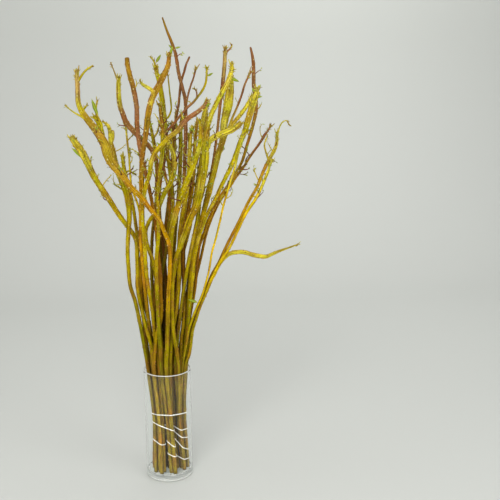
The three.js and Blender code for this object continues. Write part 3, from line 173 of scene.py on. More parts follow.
# Depth is a stem's y at the rim and top its y at the tip before SPREAD. Facing turns its ribbon from the
# viewer, in degrees. A route's points are x, z and width, from the rim up. A fork or twig leaves the stem
# at the height start and swings to another depth. A leaf is its start height, its reach in x and z, and its
# start's shift in x. Middle, crown and tip are the bark's tones further up, where they differ from the tone
# at the foot. An end is frayed unless it is named blunt or pointed.
STEMS = [
    dict(name="stem_01_left_ribbon", depth=-18, top=0, facing=8, tone="yellow",
         middle="olive",
         route=[(-27, 250, 9.5), (-33, 300, 9.5), (-45, 350, 9.5), (-55, 400, 9.5), (-59, 440, 9.5),
                (-57, 470, 9.5), (-56, 500, 10), (-57, 540, 10), (-66, 560, 10.5), (-78, 577, 11),
                (-92, 598, 12), (-115, 638, 13), (-138, 675, 14.5), (-155, 715, 16), (-165, 735, 16),
                (-178, 755, 14), (-186, 772, 9)],
         leaves=[(712, -30, 30)]),
    dict(name="stem_02_curled_tip", depth=-10, top=-44, facing=-18, tone="olive",
         crown="yellow", end="blunt",
         route=[(-42, 250, 9.5), (-47, 300, 9.5), (-54, 360, 9.5), (-62, 405, 9.5), (-72, 440, 9.5),
                (-75, 480, 10), (-76, 520, 10), (-73, 560, 11), (-70, 600, 13), (-75, 645, 15),
                (-84, 672, 15), (-92, 695, 14), (-97, 720, 11.5), (-100, 740, 9.5), (-103, 752, 9.5),
                (-101, 764, 12.5), (-101, 772, 12.5), (-103, 780, 9)],
         twigs=[
             dict(start=768, swing=-5, route=[(-106, 783, 8), (-111, 789, 6), (-117, 794, 3.4)])]),
    dict(name="stem_03_long_diagonal", depth=-38, top=-70, facing=6, tone="yellow",
         middle="brown", crown="olive", tip="tan",
         route=[(-2, 250, 10.5), (2, 300, 10.5), (5, 340, 10.5), (7, 380, 10.5), (9, 420, 10),
                (12, 460, 10), (14, 500, 10), (12, 530, 10), (4, 555, 10), (-8, 585, 10.5),
                (-24, 605, 10.5), (-45, 635, 11.5), (-62, 652, 12.5), (-80, 678, 14.5),
                (-97, 700, 17.5), (-108, 720, 20), (-115, 745, 18.5), (-127, 768, 15.5),
                (-142, 790, 14), (-155, 808, 12), (-165, 830, 10), (-165.5, 860, 9), (-165.5, 880, 8.5),
                (-165, 906, 7)],
         forks=[
             dict(start=730, swing=14, route=[(-117, 750, 11), (-121, 775, 9.5), (-128, 795, 8.5),
                 (-138, 810, 6)])],
         twigs=[
             dict(start=792, swing=-6, route=[(-160, 804, 3.8), (-176, 814, 2.9), (-193, 828, 2)]),
             dict(start=876, swing=5, route=[(-158, 885, 4.5), (-147, 898, 4), (-133, 907, 3.4)]),
             dict(start=770, swing=26, route=[(-120, 786, 5), (-130, 812, 4), (-127, 838, 2.6)]),
             dict(start=806, swing=10, route=[(-158, 815, 4.5), (-153, 822, 4), (-148, 828, 3)])],
         leaves=[(810, -16, 38, 24)]),
    dict(name="stem_04_bent_brown", depth=-14, top=34, facing=20, tone="brown",
         middle="red", crown="red", tip="yellow",
         route=[(-20, 250, 9), (-24, 300, 9), (-25, 350, 9), (-23, 400, 9), (-18, 450, 9), (-12, 500, 9),
                (-9, 560, 9), (-9, 600, 9), (-8, 650, 9), (-6, 690, 9.5), (-9, 715, 10), (-18, 735, 10),
                (-30, 750, 10.5), (-42, 760, 11), (-52, 772, 11.5), (-60, 780, 11.5), (-70, 795, 11.5),
                (-75, 810, 11), (-80, 825, 11), (-82, 845, 10.5), (-82, 865, 10), (-80, 893, 7)],
         twigs=[
             dict(start=866, swing=-5, crown="tan",
                  route=[(-86, 885, 3.6), (-90, 897, 3), (-96, 913, 2.4)])]),
    dict(name="stem_05_blunt_red", depth=-31, top=-6, facing=-25, tone="red",
         tip="brown", end="blunt",
         route=[(-29, 250, 10.5), (-25, 300, 10.5), (-20, 332, 10), (-12, 360, 10), (-9, 390, 10),
                (-10, 420, 9.5), (-9, 460, 9.5), (-13, 520, 9), (-15, 570, 9), (-18, 590, 9),
                (-23, 630, 9), (-30, 670, 9), (-41, 725, 9.5), (-47, 780, 10), (-47, 825, 10),
                (-53, 865, 10.5), (-58, 885, 10.5), (-62, 905, 10), (-63, 926, 9)]),
    dict(name="stem_06_orange_ribbon", depth=-6, top=-40, facing=12, tone="brown",
         route=[(-32, 250, 9), (-34, 300, 9), (-37, 350, 9), (-41, 400, 9), (-45, 450, 9), (-48, 500, 9),
                (-50, 540, 9), (-48, 580, 9), (-45, 620, 9.5), (-44, 650, 9.5), (-42, 690, 10),
                (-37, 730, 10.5), (-30, 765, 11), (-25, 800, 12), (-18, 830, 12.5), (-12, 845, 12.5),
                (2, 870, 12.5), (10, 885, 12), (20, 905, 10), (24, 938, 5.5)],
         twigs=[
             dict(start=830, swing=-8, crown="yellow", route=[(-12, 852, 8), (-26, 864, 7.5), (-34, 869, 6),
                 (-38, 876, 3.4)])],
         leaves=[(926, 8, 18)]),
    dict(name="stem_07_tallest", depth=-12, top=12, facing=30, tone="red",
         tip="brown", end="blunt",
         route=[(30, 250, 9), (35, 320, 9), (40, 350, 9), (44, 400, 9), (43, 430, 9), (43, 460, 9),
                (44, 530, 9), (45, 590, 9), (47, 650, 9), (50, 710, 8.5), (53, 760, 8.5), (54, 800, 8),
                (54, 835, 7.5), (50, 855, 7.5), (44, 880, 7.5), (41, 895, 7.5), (36, 930, 7),
                (26, 960, 6), (20, 975, 5), (10, 1006, 3)],
         forks=[
             dict(start=790, swing=-10, route=[(56, 825, 4.6), (60, 845, 4.2), (66, 865, 4),
                 (72, 880, 3.8), (80, 910, 3.6)])],
         leaves=[(936, -12, 12), (940, 14, 4)]),
    dict(name="stem_08_thin_red", depth=8, top=24, facing=50, tone="red",
         end="blunt",
         route=[(-2, 250, 8.5), (0, 320, 8.5), (2, 380, 8.5), (3, 440, 8.5), (1, 500, 8.5), (-5, 560, 8),
                (-8, 610, 8), (-7, 650, 7.5), (0, 690, 7), (11, 727, 7), (22, 760, 6.5), (28, 780, 6),
                (38, 820, 5.6), (41, 840, 5.4), (46, 875, 5.2), (50, 885, 5), (58, 910, 4.6),
                (66, 926, 4)]),
    dict(name="stem_09_olive_ribbon", depth=26, top=42, facing=-10, tone="olive",
         route=[(-10, 250, 9), (-10, 310, 9), (-9, 380, 9), (-7, 450, 9), (-7, 520, 9), (-11, 580, 9.5),
                (-12, 630, 10), (-6, 680, 10), (3, 720, 10.5), (8, 760, 11), (10, 780, 11),
                (9, 800, 11.5), (6, 840, 11), (1, 875, 10), (-3, 890, 9.5), (-7, 916, 8)],
         twigs=[
             dict(start=896, swing=-4, route=[(-9, 916, 4), (-15, 924, 3)]),
             dict(start=790, swing=4, route=[(17, 800, 4.4), (24, 815, 4), (24, 832, 3.8),
                 (22, 852, 3.4), (20.5, 872, 3), (19, 889, 2.4)])],
         leaves=[(908, 12, 20), (880, 14, 12)]),
    dict(name="stem_10_dark_reacher", depth=20, top=6, facing=20, tone="red",
         tip="olive",
         route=[(7, 250, 8), (7, 350, 8), (8, 420, 8), (10, 480, 7.6), (14, 540, 7.2), (18, 590, 7),
                (17, 640, 6.6), (11, 680, 6.2), (4, 715, 6), (3, 740, 6), (8, 760, 5.8), (18, 775, 5.6),
                (28, 785, 5.4), (38, 798, 5.2), (58, 820, 5), (68, 828, 5), (80, 842, 5), (90, 855, 5),
                (97, 870, 5), (99, 885, 4.6), (100, 908, 4.2)],
         twigs=[
             dict(start=838, swing=-4, route=[(78, 852, 3), (73, 859, 2.4)])],
         leaves=[(882, 14, 8)]),
    dict(name="stem_11_crossing_ribbon", depth=-20, top=-62, facing=5, tone="brown",
         middle="olive", crown="red",
         route=[(-17, 250, 9), (-20, 290, 9), (-24, 330, 9), (-27, 380, 9), (-30, 400, 9), (-35, 440, 9),
                (-38, 470, 9), (-40, 530, 9), (-42, 570, 9), (-42, 605, 9), (-40, 630, 9.5),
                (-32, 660, 10), (-25, 680, 10), (-22, 700, 10), (-18, 715, 10), (-10, 730, 10),
                (5, 745, 10.5), (20, 760, 10.5), (32, 768, 10.5), (55, 795, 10), (70, 805, 9.5),
                (85, 815, 8.5), (95, 827, 6.5), (103, 843, 4)],
         leaves=[(828, 16, 6)]),
    dict(name="stem_12_broad_ribbon", depth=-30, top=-46, facing=-6, tone="yellow",
         middle="olive",
         route=[(24, 250, 10), (20, 290, 10), (15, 322, 10), (12, 355, 10), (13, 400, 10),
                (15, 440, 10.5), (20, 470, 11), (26, 500, 12), (34, 522, 13), (42, 545, 14.5),
                (50, 565, 16), (60, 590, 17), (72, 612, 18), (80, 640, 19), (85, 670, 20),
                (90, 700, 20.5), (92, 735, 19), (95, 765, 13), (104, 795, 10), (110, 810, 9.5),
                (125, 840, 9.5), (142, 870, 9.5), (148, 885, 9), (152, 900, 8), (150, 916, 5)],
         forks=[
             dict(start=725, swing=-12, route=[(103, 750, 12.5), (115, 758, 13), (130, 765, 13),
                 (145, 770, 12.5), (160, 778, 11.5), (178, 796, 7)]),
             dict(start=740, swing=-8, route=[(90, 770, 10), (90, 790, 9), (95, 815, 8), (106, 833, 5)])],
         leaves=[(884, 20, -8)]),
    dict(name="stem_13_olive_lean", depth=-2, top=-50, facing=-20, tone="olive",
         route=[(17, 250, 9), (15, 310, 9), (13, 380, 9), (13, 430, 9), (14, 480, 10), (16, 520, 12),
                (20, 560, 13.5), (30, 600, 14), (43, 640, 14), (58, 675, 13.5), (72, 710, 12.5),
                (82, 740, 11), (85, 770, 9), (83, 808, 5.5)]),
    dict(name="stem_14_curl_headed", depth=14, top=24, facing=25, tone="brown",
         middle="red", crown="red", tip="tan",
         route=[(37, 250, 8.5), (40, 280, 8.5), (45, 320, 8.5), (52, 370, 8.5), (56, 390, 8.5),
                (62, 420, 8.5), (66, 450, 8.5), (68, 480, 8.5), (72, 510, 8.5), (76, 545, 8),
                (82, 580, 7.6), (90, 615, 7.2), (98, 650, 6.8), (104, 680, 6.4), (112, 720, 6),
                (118, 760, 5.8), (122, 790, 6), (127, 830, 7), (131, 860, 8.5), (136, 900, 9.5),
                (138, 930, 8), (139, 948, 5)],
         twigs=[
             dict(start=922, swing=4, route=[(143, 934, 4), (150, 940, 3.4), (152, 948, 2.4)])]),
    dict(name="stem_15_wide_yellow", depth=0, top=-14, facing=4, tone="yellow",
         route=[(33, 250, 9.5), (36, 270, 9.5), (42, 320, 9.5), (47, 370, 9.5), (51, 420, 9.5),
                (54, 460, 9.5), (58, 495, 10), (66, 530, 10.5), (76, 560, 11), (86, 595, 11.5),
                (100, 640, 12), (105, 660, 12), (113, 690, 12.5), (120, 720, 13), (125, 735, 13),
                (130, 750, 13.5), (133, 780, 15), (137, 800, 17), (142, 820, 19), (146, 845, 18.5),
                (149, 868, 12.5), (152, 892, 6)]),
    dict(name="stem_16_split_pair", depth=6, top=2, facing=10, tone="yellow",
         route=[(26, 250, 9), (36, 320, 9), (45, 380, 9), (52, 430, 9), (60, 480, 9), (70, 525, 9),
                (80, 565, 9.5), (90, 605, 10), (98, 640, 10), (106, 672, 10), (114, 700, 10),
                (122, 725, 10), (131, 748, 9.5), (140, 768, 9), (150, 783, 8), (160, 793, 8),
                (170, 805, 8.5), (180, 818, 8.5), (190, 835, 8), (200, 852, 5)],
         forks=[
             dict(start=755, swing=16, crown="red", route=[(147, 785, 5.4), (153, 800, 5), (160, 815, 4.8),
                 (172, 845, 4.6), (178, 865, 4.4), (193, 896, 3.6)])]),
    dict(name="stem_17_dark_spear", depth=27, top=30, facing=30, tone="brown",
         crown="red", end="pointed",
         route=[(33, 250, 9), (38, 290, 9), (44, 340, 9), (50, 390, 9), (56, 430, 9), (63, 470, 9),
                (72, 505, 8.6), (81, 533, 8.4), (89, 553, 8.2), (96, 574, 8), (105, 594, 7.8),
                (115, 615, 7.6), (126, 634, 7.4), (138, 651, 7.2), (151, 670, 7), (163, 689, 7),
                (173, 710, 7), (182, 740, 7), (190, 765, 7.4), (197, 790, 8), (202, 815, 8.6),
                (201, 835, 9), (197, 860, 9), (197, 880, 9), (196, 915, 7.5), (190, 945, 3.6)]),
    dict(name="stem_18_tufted_ribbon", depth=-5, top=-34, facing=-8, tone="olive",
         middle="olive", crown="yellow", tuft=(70, 40.0),
         route=[(41, 250, 9), (43, 300, 9), (47, 350, 9), (53, 400, 9), (58, 440, 9), (63, 480, 9),
                (68, 515, 9), (76, 546, 9), (84, 568, 9), (92, 588, 9), (102, 607, 9), (114, 628, 9.5),
                (124, 650, 9.5), (134, 669, 9.5), (145, 690, 10), (155, 713, 10), (167, 744, 10.5),
                (178, 770, 11.5), (187, 800, 13.5), (192, 815, 14), (198, 832, 13), (203, 850, 9.5),
                (206, 866, 6)],
         leaves=[(852, 10, 16), (848, -9, 14), (842, 14, 3)]),
    dict(name="stem_19_red_arrow", depth=18, top=48, facing=45, tone="brown",
         crown="red",
         route=[(26, 250, 8), (31, 280, 8), (38, 320, 8), (47, 370, 8), (58, 420, 8), (69, 465, 8),
                (80, 505, 7.6), (90, 545, 7.2), (100, 575, 7), (120, 617, 6.6), (140, 645, 6.2),
                (160, 675, 6), (172, 690, 6), (190, 718, 6), (208, 742, 5.8), (218, 757, 5.4),
                (236, 784, 4)],
         twigs=[
             dict(start=672, swing=-8, route=[(168, 690, 4), (180, 700, 3)])]),
    dict(name="stem_20_far_right", depth=4, top=20, facing=40, tone="brown",
         crown="yellow",
         route=[(45, 250, 9), (49, 290, 9), (54, 330, 9), (62, 360, 9), (78, 400, 9), (93, 435, 9),
                (105, 463, 8.6), (118, 485, 8.4), (132, 515, 8.2), (147, 545, 8), (163, 575, 8),
                (180, 610, 8), (190, 628, 8), (203, 650, 8.2), (215, 680, 8.6), (230, 710, 8.8),
                (239, 726, 8.6), (245, 742, 8), (246, 772, 5)],
         twigs=[
             dict(start=750, swing=-4, route=[(252, 778, 3.2), (258, 787, 2.8), (266, 790, 2.5),
                 (273, 780, 2.2)]),
             dict(start=702, swing=8, route=[(222, 725, 4.2), (219, 740, 3.4), (225, 757, 2.4)])]),
    dict(name="stem_21_curving_arm", depth=-17, top=-26, facing=6, tone="yellow",
         route=[(44, 250, 9.5), (53, 280, 9.5), (57, 310, 9.5), (60, 335, 9.5), (67, 360, 9.5),
                (75, 385, 9.5), (83, 405, 9.5), (92, 425, 9.5), (100, 445, 9.5), (110, 465, 10),
                (120, 484, 10), (134, 505, 7.6), (148, 530, 7.2), (162, 560, 7.2), (178, 592, 7.2),
                (200, 625, 7.4), (215, 655, 7.2), (227, 685, 6.6), (232, 700, 5.6), (243, 720, 4)],
         twigs=[
             dict(start=465, swing=-20, route=[(120, 484, 9.5), (133, 499, 9.5), (145, 506, 9.5),
                 (160, 508.5, 9.5), (175, 507.5, 9.5), (190, 502.5, 10), (205, 498.5, 10),
                 (222, 496.5, 9), (235, 501.5, 7.4), (250, 507.5, 6), (265, 512.5, 4.6),
                 (280, 517.5, 3.6), (294, 522.5, 2.4)])]),
    dict(name="stem_22_thin_yellow", depth=-26, top=-50, facing=0, tone="yellow",
         route=[(36, 250, 5.9), (44, 300, 5.9), (52, 340, 5.5), (60, 365, 5.5), (68, 385, 5.4),
                (80, 412, 5.2), (86, 430, 5), (92, 450, 5), (97, 470, 5), (104, 510, 5), (110, 530, 5),
                (118, 560, 5), (124, 585, 5), (130, 610, 5), (142, 650, 5), (148, 670, 4.9),
                (155, 690, 4.7), (165, 730, 4.4), (170, 745, 4), (178, 772, 3)],
         leaves=[(408, -22, 10)]),
    dict(name="stem_23_cut_stub", depth=8, top=10, facing=-30, tone="olive",
         route=[(-26, 250, 9.5), (-30, 300, 9.5), (-34, 330, 9.5), (-37, 357, 9.5), (-43, 390, 9.5),
                (-47, 418, 9.5), (-48, 440, 9.5), (-51, 470, 9), (-52, 500, 9), (-50, 540, 9),
                (-53, 570, 9), (-57, 600, 9), (-62, 630, 9), (-68, 655, 9), (-72, 675, 9.5),
                (-76, 695, 10), (-78, 715, 8.5), (-80, 736, 8)],
         twigs=[
             dict(start=682, swing=12, route=[(-68, 690, 4), (-60, 687, 3.4), (-52, 682, 2.6)])],
         leaves=[(690, -10, 8)]),
    dict(name="stem_24_thin_left", depth=22, top=34, facing=0, tone="yellow",
         route=[(-31, 250, 7), (-35, 320, 7), (-39, 400, 6.6), (-43, 470, 6.2), (-45, 520, 6),
                (-47, 560, 5.8), (-47, 590, 5.6), (-52, 620, 5.4), (-62, 650, 5.2), (-65, 680, 5),
                (-66, 720, 4.8), (-69, 760, 4.4), (-71, 792, 3.2)]),
    dict(name="stem_25_pale_centre", depth=-12, top=-28, facing=-10, tone="yellow",
         middle="olive",
         route=[(-8, 250, 9.5), (-12, 330, 9.5), (-15, 400, 9.5), (-18, 460, 9.5), (-25, 500, 9.5),
                (-35, 533, 10), (-36, 562, 9), (-26, 585, 9.5), (-10, 605, 10.5), (-4, 620, 11),
                (6, 642, 11.5), (18, 662, 11.5), (27, 690, 12), (29, 710, 11.5), (25, 730, 10.5),
                (15, 752, 8), (9, 768, 4.5)]),
    dict(name="stem_26_back_centre", depth=39, top=60, facing=65, tone="olive",
         route=[(5, 250, 9), (8, 330, 9), (15, 420, 9.5), (22, 510, 10), (30, 590, 11.5), (36, 650, 13),
                (40, 700, 14), (42, 745, 13), (44, 785, 9), (48, 812, 5)],
         twigs=[
             dict(start=752, swing=12, route=[(37, 775, 5), (32, 796, 4), (34, 815, 2.6)])]),
    dict(name="stem_27_back_right", depth=36, top=66, facing=50, tone="brown",
         route=[(20, 250, 9), (24, 350, 9), (33, 450, 9), (45, 540, 9.5), (56, 610, 10.5), (64, 660, 12),
                (69, 700, 12), (72, 740, 10), (76, 780, 8), (80, 802, 5)]),
    dict(name="stem_28_back_left", depth=36, top=64, facing=-60, tone="olive",
         route=[(-20, 250, 8.6), (-24, 350, 8.6), (-27, 450, 9), (-24, 540, 9.5), (-13, 620, 11),
                (-8, 680, 12), (-12, 735, 11), (-18, 775, 8), (-24, 806, 5)],
         twigs=[
             dict(start=745, swing=10, route=[(-6, 770, 4.4), (-2, 786, 3.4), (-4, 800, 2.6)])]),
    dict(name="stem_29_back_middle", depth=22, top=44, facing=75, tone="brown",
         route=[(-15, 250, 9), (-15, 350, 9), (-10, 450, 9), (2, 540, 9.5), (12, 610, 10.5),
                (20, 670, 11.5), (24, 720, 11), (27, 762, 8.5), (24, 796, 5)]),
    dict(name="stem_30_front_right", depth=-30, top=-5, facing=10, tone="yellow",
         route=[(10, 250, 9.5), (13, 300, 9.5), (20, 350, 9.5), (28, 400, 9.5), (32, 450, 9.5),
                (33, 500, 9.5), (36, 550, 10), (44, 600, 10.5), (54, 645, 11), (60, 690, 10.5),
                (62, 730, 9), (66, 765, 6), (70, 785, 4)]),
    dict(name="stem_31_front_left", depth=-37, top=-30, facing=-15, tone="olive",
         crown="brown",
         route=[(-14, 250, 9.5), (-15, 300, 9.5), (-17, 350, 9.5), (-17, 400, 9.5), (-17, 450, 9.5),
                (-16, 500, 9.5), (-10, 550, 9.5), (-9, 600, 9.5), (-9, 640, 9.5), (-6, 675, 9.5),
                (0, 705, 9.5), (4, 735, 9.5), (5, 770, 9), (3, 805, 8), (1, 826, 6), (0, 838, 4)],
         leaves=[(742, -12, 12)]),
    dict(name="stem_32_centre", depth=-16, top=0, facing=40, tone="brown",
         route=[(10, 250, 9), (14, 330, 9), (22, 410, 9), (32, 480, 9), (42, 540, 9.5), (52, 590, 10),
                (62, 640, 10), (68, 690, 9.5), (70, 735, 8), (74, 775, 6), (80, 800, 4)],
         leaves=[(770, -14, 10)]),
    dict(name="stem_33_centre_left", depth=2, top=10, facing=-35, tone="olive",
         route=[(-12, 250, 9), (-14, 330, 9), (-10, 410, 9), (0, 480, 9), (11, 550, 9), (20, 610, 9.5),
                (18, 660, 10), (13, 710, 9.5), (10, 755, 8), (4, 795, 5.5), (0, 820, 4)]),
    dict(name="stem_34_left", depth=8, top=16, facing=25, tone="brown",
         route=[(-38, 250, 9), (-43, 310, 9), (-48, 370, 9), (-52, 430, 9), (-52, 490, 9), (-49, 550, 9),
                (-46, 610, 9), (-42, 660, 9), (-42, 710, 8.5), (-44, 755, 7), (-47, 790, 5)]),
    dict(name="stem_35_centre_right", depth=4, top=20, facing=60, tone="yellow",
         route=[(8, 250, 9), (12, 330, 9), (20, 410, 9), (30, 480, 9), (40, 540, 9), (48, 600, 9),
                (54, 660, 9), (58, 705, 8.5), (60, 740, 7), (60, 768, 5)]),
    dict(name="stem_36_back", depth=40, top=52, facing=20, tone="yellow",
         route=[(-7, 250, 8.6), (-6, 340, 8.6), (-3, 430, 8.6), (4, 520, 9), (12, 600, 9.5),
                (20, 660, 9.5), (26, 710, 9), (30, 760, 7), (30, 800, 4.5)]),
    dict(name="stem_37_right_mid", depth=-21, top=-6, facing=15, tone="olive",
         route=[(16, 250, 9), (22, 310, 9), (31, 370, 9), (41, 430, 9), (53, 490, 9), (66, 545, 9.5),
                (76, 590, 10), (80, 625, 10), (84, 655, 10), (90, 692, 9.5), (96, 730, 8.5),
                (101, 770, 6.5), (103, 802, 4)]),
    dict(name="stem_38_right_back", depth=31, top=44, facing=-20, tone="yellow",
         route=[(9, 250, 8.6), (14, 340, 8.6), (24, 430, 8.6), (40, 505, 9), (58, 570, 9.5),
                (70, 632, 9.5), (80, 690, 9.5), (90, 735, 8.5), (96, 775, 7), (98, 812, 5)]),
]

SECTORS = ["front", "front_right", "back_right", "back", "back_left", "front_left"]

# A band goes round one or more bundles of stems, at a height and a slope along x and y.
BANDS = [
    dict(name="band_main", bundles=["centre"] + SECTORS, height=147.5, slope=(-0.03, -0.17)),
    dict(name="band_left_upper", bundles=["front_left", "front"], height=114.5, slope=(-0.41, -0.18)),
    dict(name="band_right_upper", bundles=["front_right"], height=123, slope=(-0.3, 0.1)),
    dict(name="band_right_middle", bundles=["front_right"], height=114, slope=(-0.6, 0.1)),
    dict(name="band_left", bundles=["front_left"], height=76, slope=(-0.45, 0.0)),
    dict(name="band_front", bundles=["front"], height=87, slope=(-0.65, 0.0)),
    dict(name="band_right", bundles=["front_right"], height=102, slope=(-1.0, 0.1)),
    dict(name="band_front_low", bundles=["front"], height=60, slope=(-0.3, 0.0)),
    dict(name="band_right_low", bundles=["front_right"], height=52, slope=(-0.35, 0.0)),
]


# Routes
def ease(share):
    """Smooth step: 0 below 0, 1 above 1, three t squared less two t cubed between."""
    t = np.clip(share, 0.0, 1.0)
    return t * t * (3.0 - 2.0 * t)


def nearest(value):
    """The nearest whole number, halves going up."""
    return int(math.floor(value + 0.5))


def along_sight(x, y, z):
    """A point of the picture plane moved along the line of sight to depth y: x and z grow with distance."""
    scale = 1.0 + y / EYE_DISTANCE
    return x * scale, y, EYE_HEIGHT + (z - EYE_HEIGHT) * scale


def hermite(p, q, slope_p, slope_q, t):
    """Cubic from p to q with the given end slopes, for t from 0 to 1."""
    t2 = t * t
    t3 = t2 * t
    return ((2 * t3 - 3 * t2 + 1) * p + (t3 - 2 * t2 + t) * slope_p
            + (3 * t2 - 2 * t3) * q + (t3 - t2) * slope_q)


def smooth_at(knots, values, z):
    """Cubic curve through values at rising knots, each slope the rise over the two neighbouring knots."""
    slope = np.empty_like(values)
    slope[1:-1] = (values[2:] - values[:-2]) / (knots[2:] - knots[:-2])
    slope[0] = (values[1] - values[0]) / (knots[1] - knots[0])
    slope[-1] = (values[-1] - values[-2]) / (knots[-1] - knots[-2])
    i = np.clip(np.searchsorted(knots[1:], z, side="left"), 0, len(knots) - 2)
    span = knots[i + 1] - knots[i]
    t = np.clip((z - knots[i]) / span, 0.0, 1.2)
    return hermite(values[i], values[i + 1], span * slope[i], span * slope[i + 1], t)


def stem_knots(stem, index):
    """Foot and waist turned about the vase's axis, then the route at its depth: x, y, z and width."""
    route = np.array(stem["route"], float)
    rim_x, rim_z, rim_width = route[0]
    height = route[:, 1]
    sway = SWAY * np.sin(height / SWAY_LENGTH + SWAY_SHIFT * index)
    sway = sway * ease((height - SWAY_FROM) / SWAY_OVER)
    rise = ease((height - rim_z) / (height[-1] - rim_z))
    depth = stem["depth"] + (SPREAD * stem["top"] - stem["depth"]) * rise + sway
    x, y, z = along_sight(route[:, 0], depth, height)
    knots = [np.column_stack([x, y, z, route[:, 2]])]
    lower = ((WAIST_SHARE, SWIRL / 2, WAIST_HEIGHT), (FOOT_SHARE, SWIRL, FOOT_LEVEL * STEP))
    for share, angle, level in lower:
        turned_x = share * (rim_x * math.cos(angle) - stem["depth"] * math.sin(angle))
        turned_y = share * (rim_x * math.sin(angle) + stem["depth"] * math.cos(angle))
        knots.insert(0, np.array([[turned_x, turned_y, level, rim_width]]))
    return np.vstack(knots)


def fork_knots(fork, parent):
    """A fork's root on its stem, then its route's points swinging to their depth: x, y, z, width."""
    route = np.array(fork["route"], float)
    first = nearest(fork["start"] / STEP)
    root_y = parent["y"][first]
    rise = ease((route[:, 1] - fork["start"]) / (route[-1, 1] - fork["start"]))
    x, y, z = along_sight(route[:, 0], root_y + fork["swing"] * rise, route[:, 1])
    root = [[parent["x"][first], root_y, first * STEP, route[0, 2]]]
    return np.vstack([root, np.column_stack([x, y, z, route[:, 2]])])


def make_branch(stem, index, knots, first, parent):
    """A branch at every level: x, y, width, thickness and facing from smooth curves through its knots."""
    last = nearest(knots[-1, 2] / STEP)
    z = np.arange(last + 1) * STEP
    z[:first] = first * STEP
    girth = LOWER_GIRTH + (1 - LOWER_GIRTH) * ease((z - SLIM_BELOW) / (FULL_ABOVE - SLIM_BELOW))
    width = np.maximum(smooth_at(knots[:, 2], knots[:, 3], z) * girth, THINNEST)
    roundness = 1.0 - ease((z - ROUND_BELOW) / (FLAT_ABOVE - ROUND_BELOW))
    thick = np.minimum(width, RIBBON_THICKNESS + (width - RIBBON_THICKNESS) * roundness)
    face = np.radians(stem["facing"] + TWIST * np.sin(z / TWIST_LENGTH + TWIST_SHIFT * index))
    return dict(stem=index, parent=parent, first=first, last=last, x=smooth_at(knots[:, 2], knots[:, 0], z),
                y=smooth_at(knots[:, 2], knots[:, 1], z), width=width, thick=thick, face=face)


def bundle_of(stem):
    """The bundle a stem stands in: the centre, or one of six sectors round it."""
    x = stem["route"][0][0]
    if math.hypot(x, stem["depth"]) < BUNDLE_CENTRE:
        return "centre"
    turn = (math.atan2(stem["depth"], x) / (2 * math.pi) + 1 + 1 / 3) % 1
    return SECTORS[int(6 * turn)]


def girth_at(z):
    """Room inside the glass at a height: narrower at the foot's fillet and at the tied waist."""
    waist = np.exp(-((z - WAIST_HEIGHT) / WAIST_REACH) ** 2)
    foot = FILLET_ROOM * np.exp(-((z - FOOT_HEIGHT) / FILLET_REACH) ** 2)
    return VASE_INSIDE - foot - (VASE_INSIDE - WAIST_GIRTH) * waist


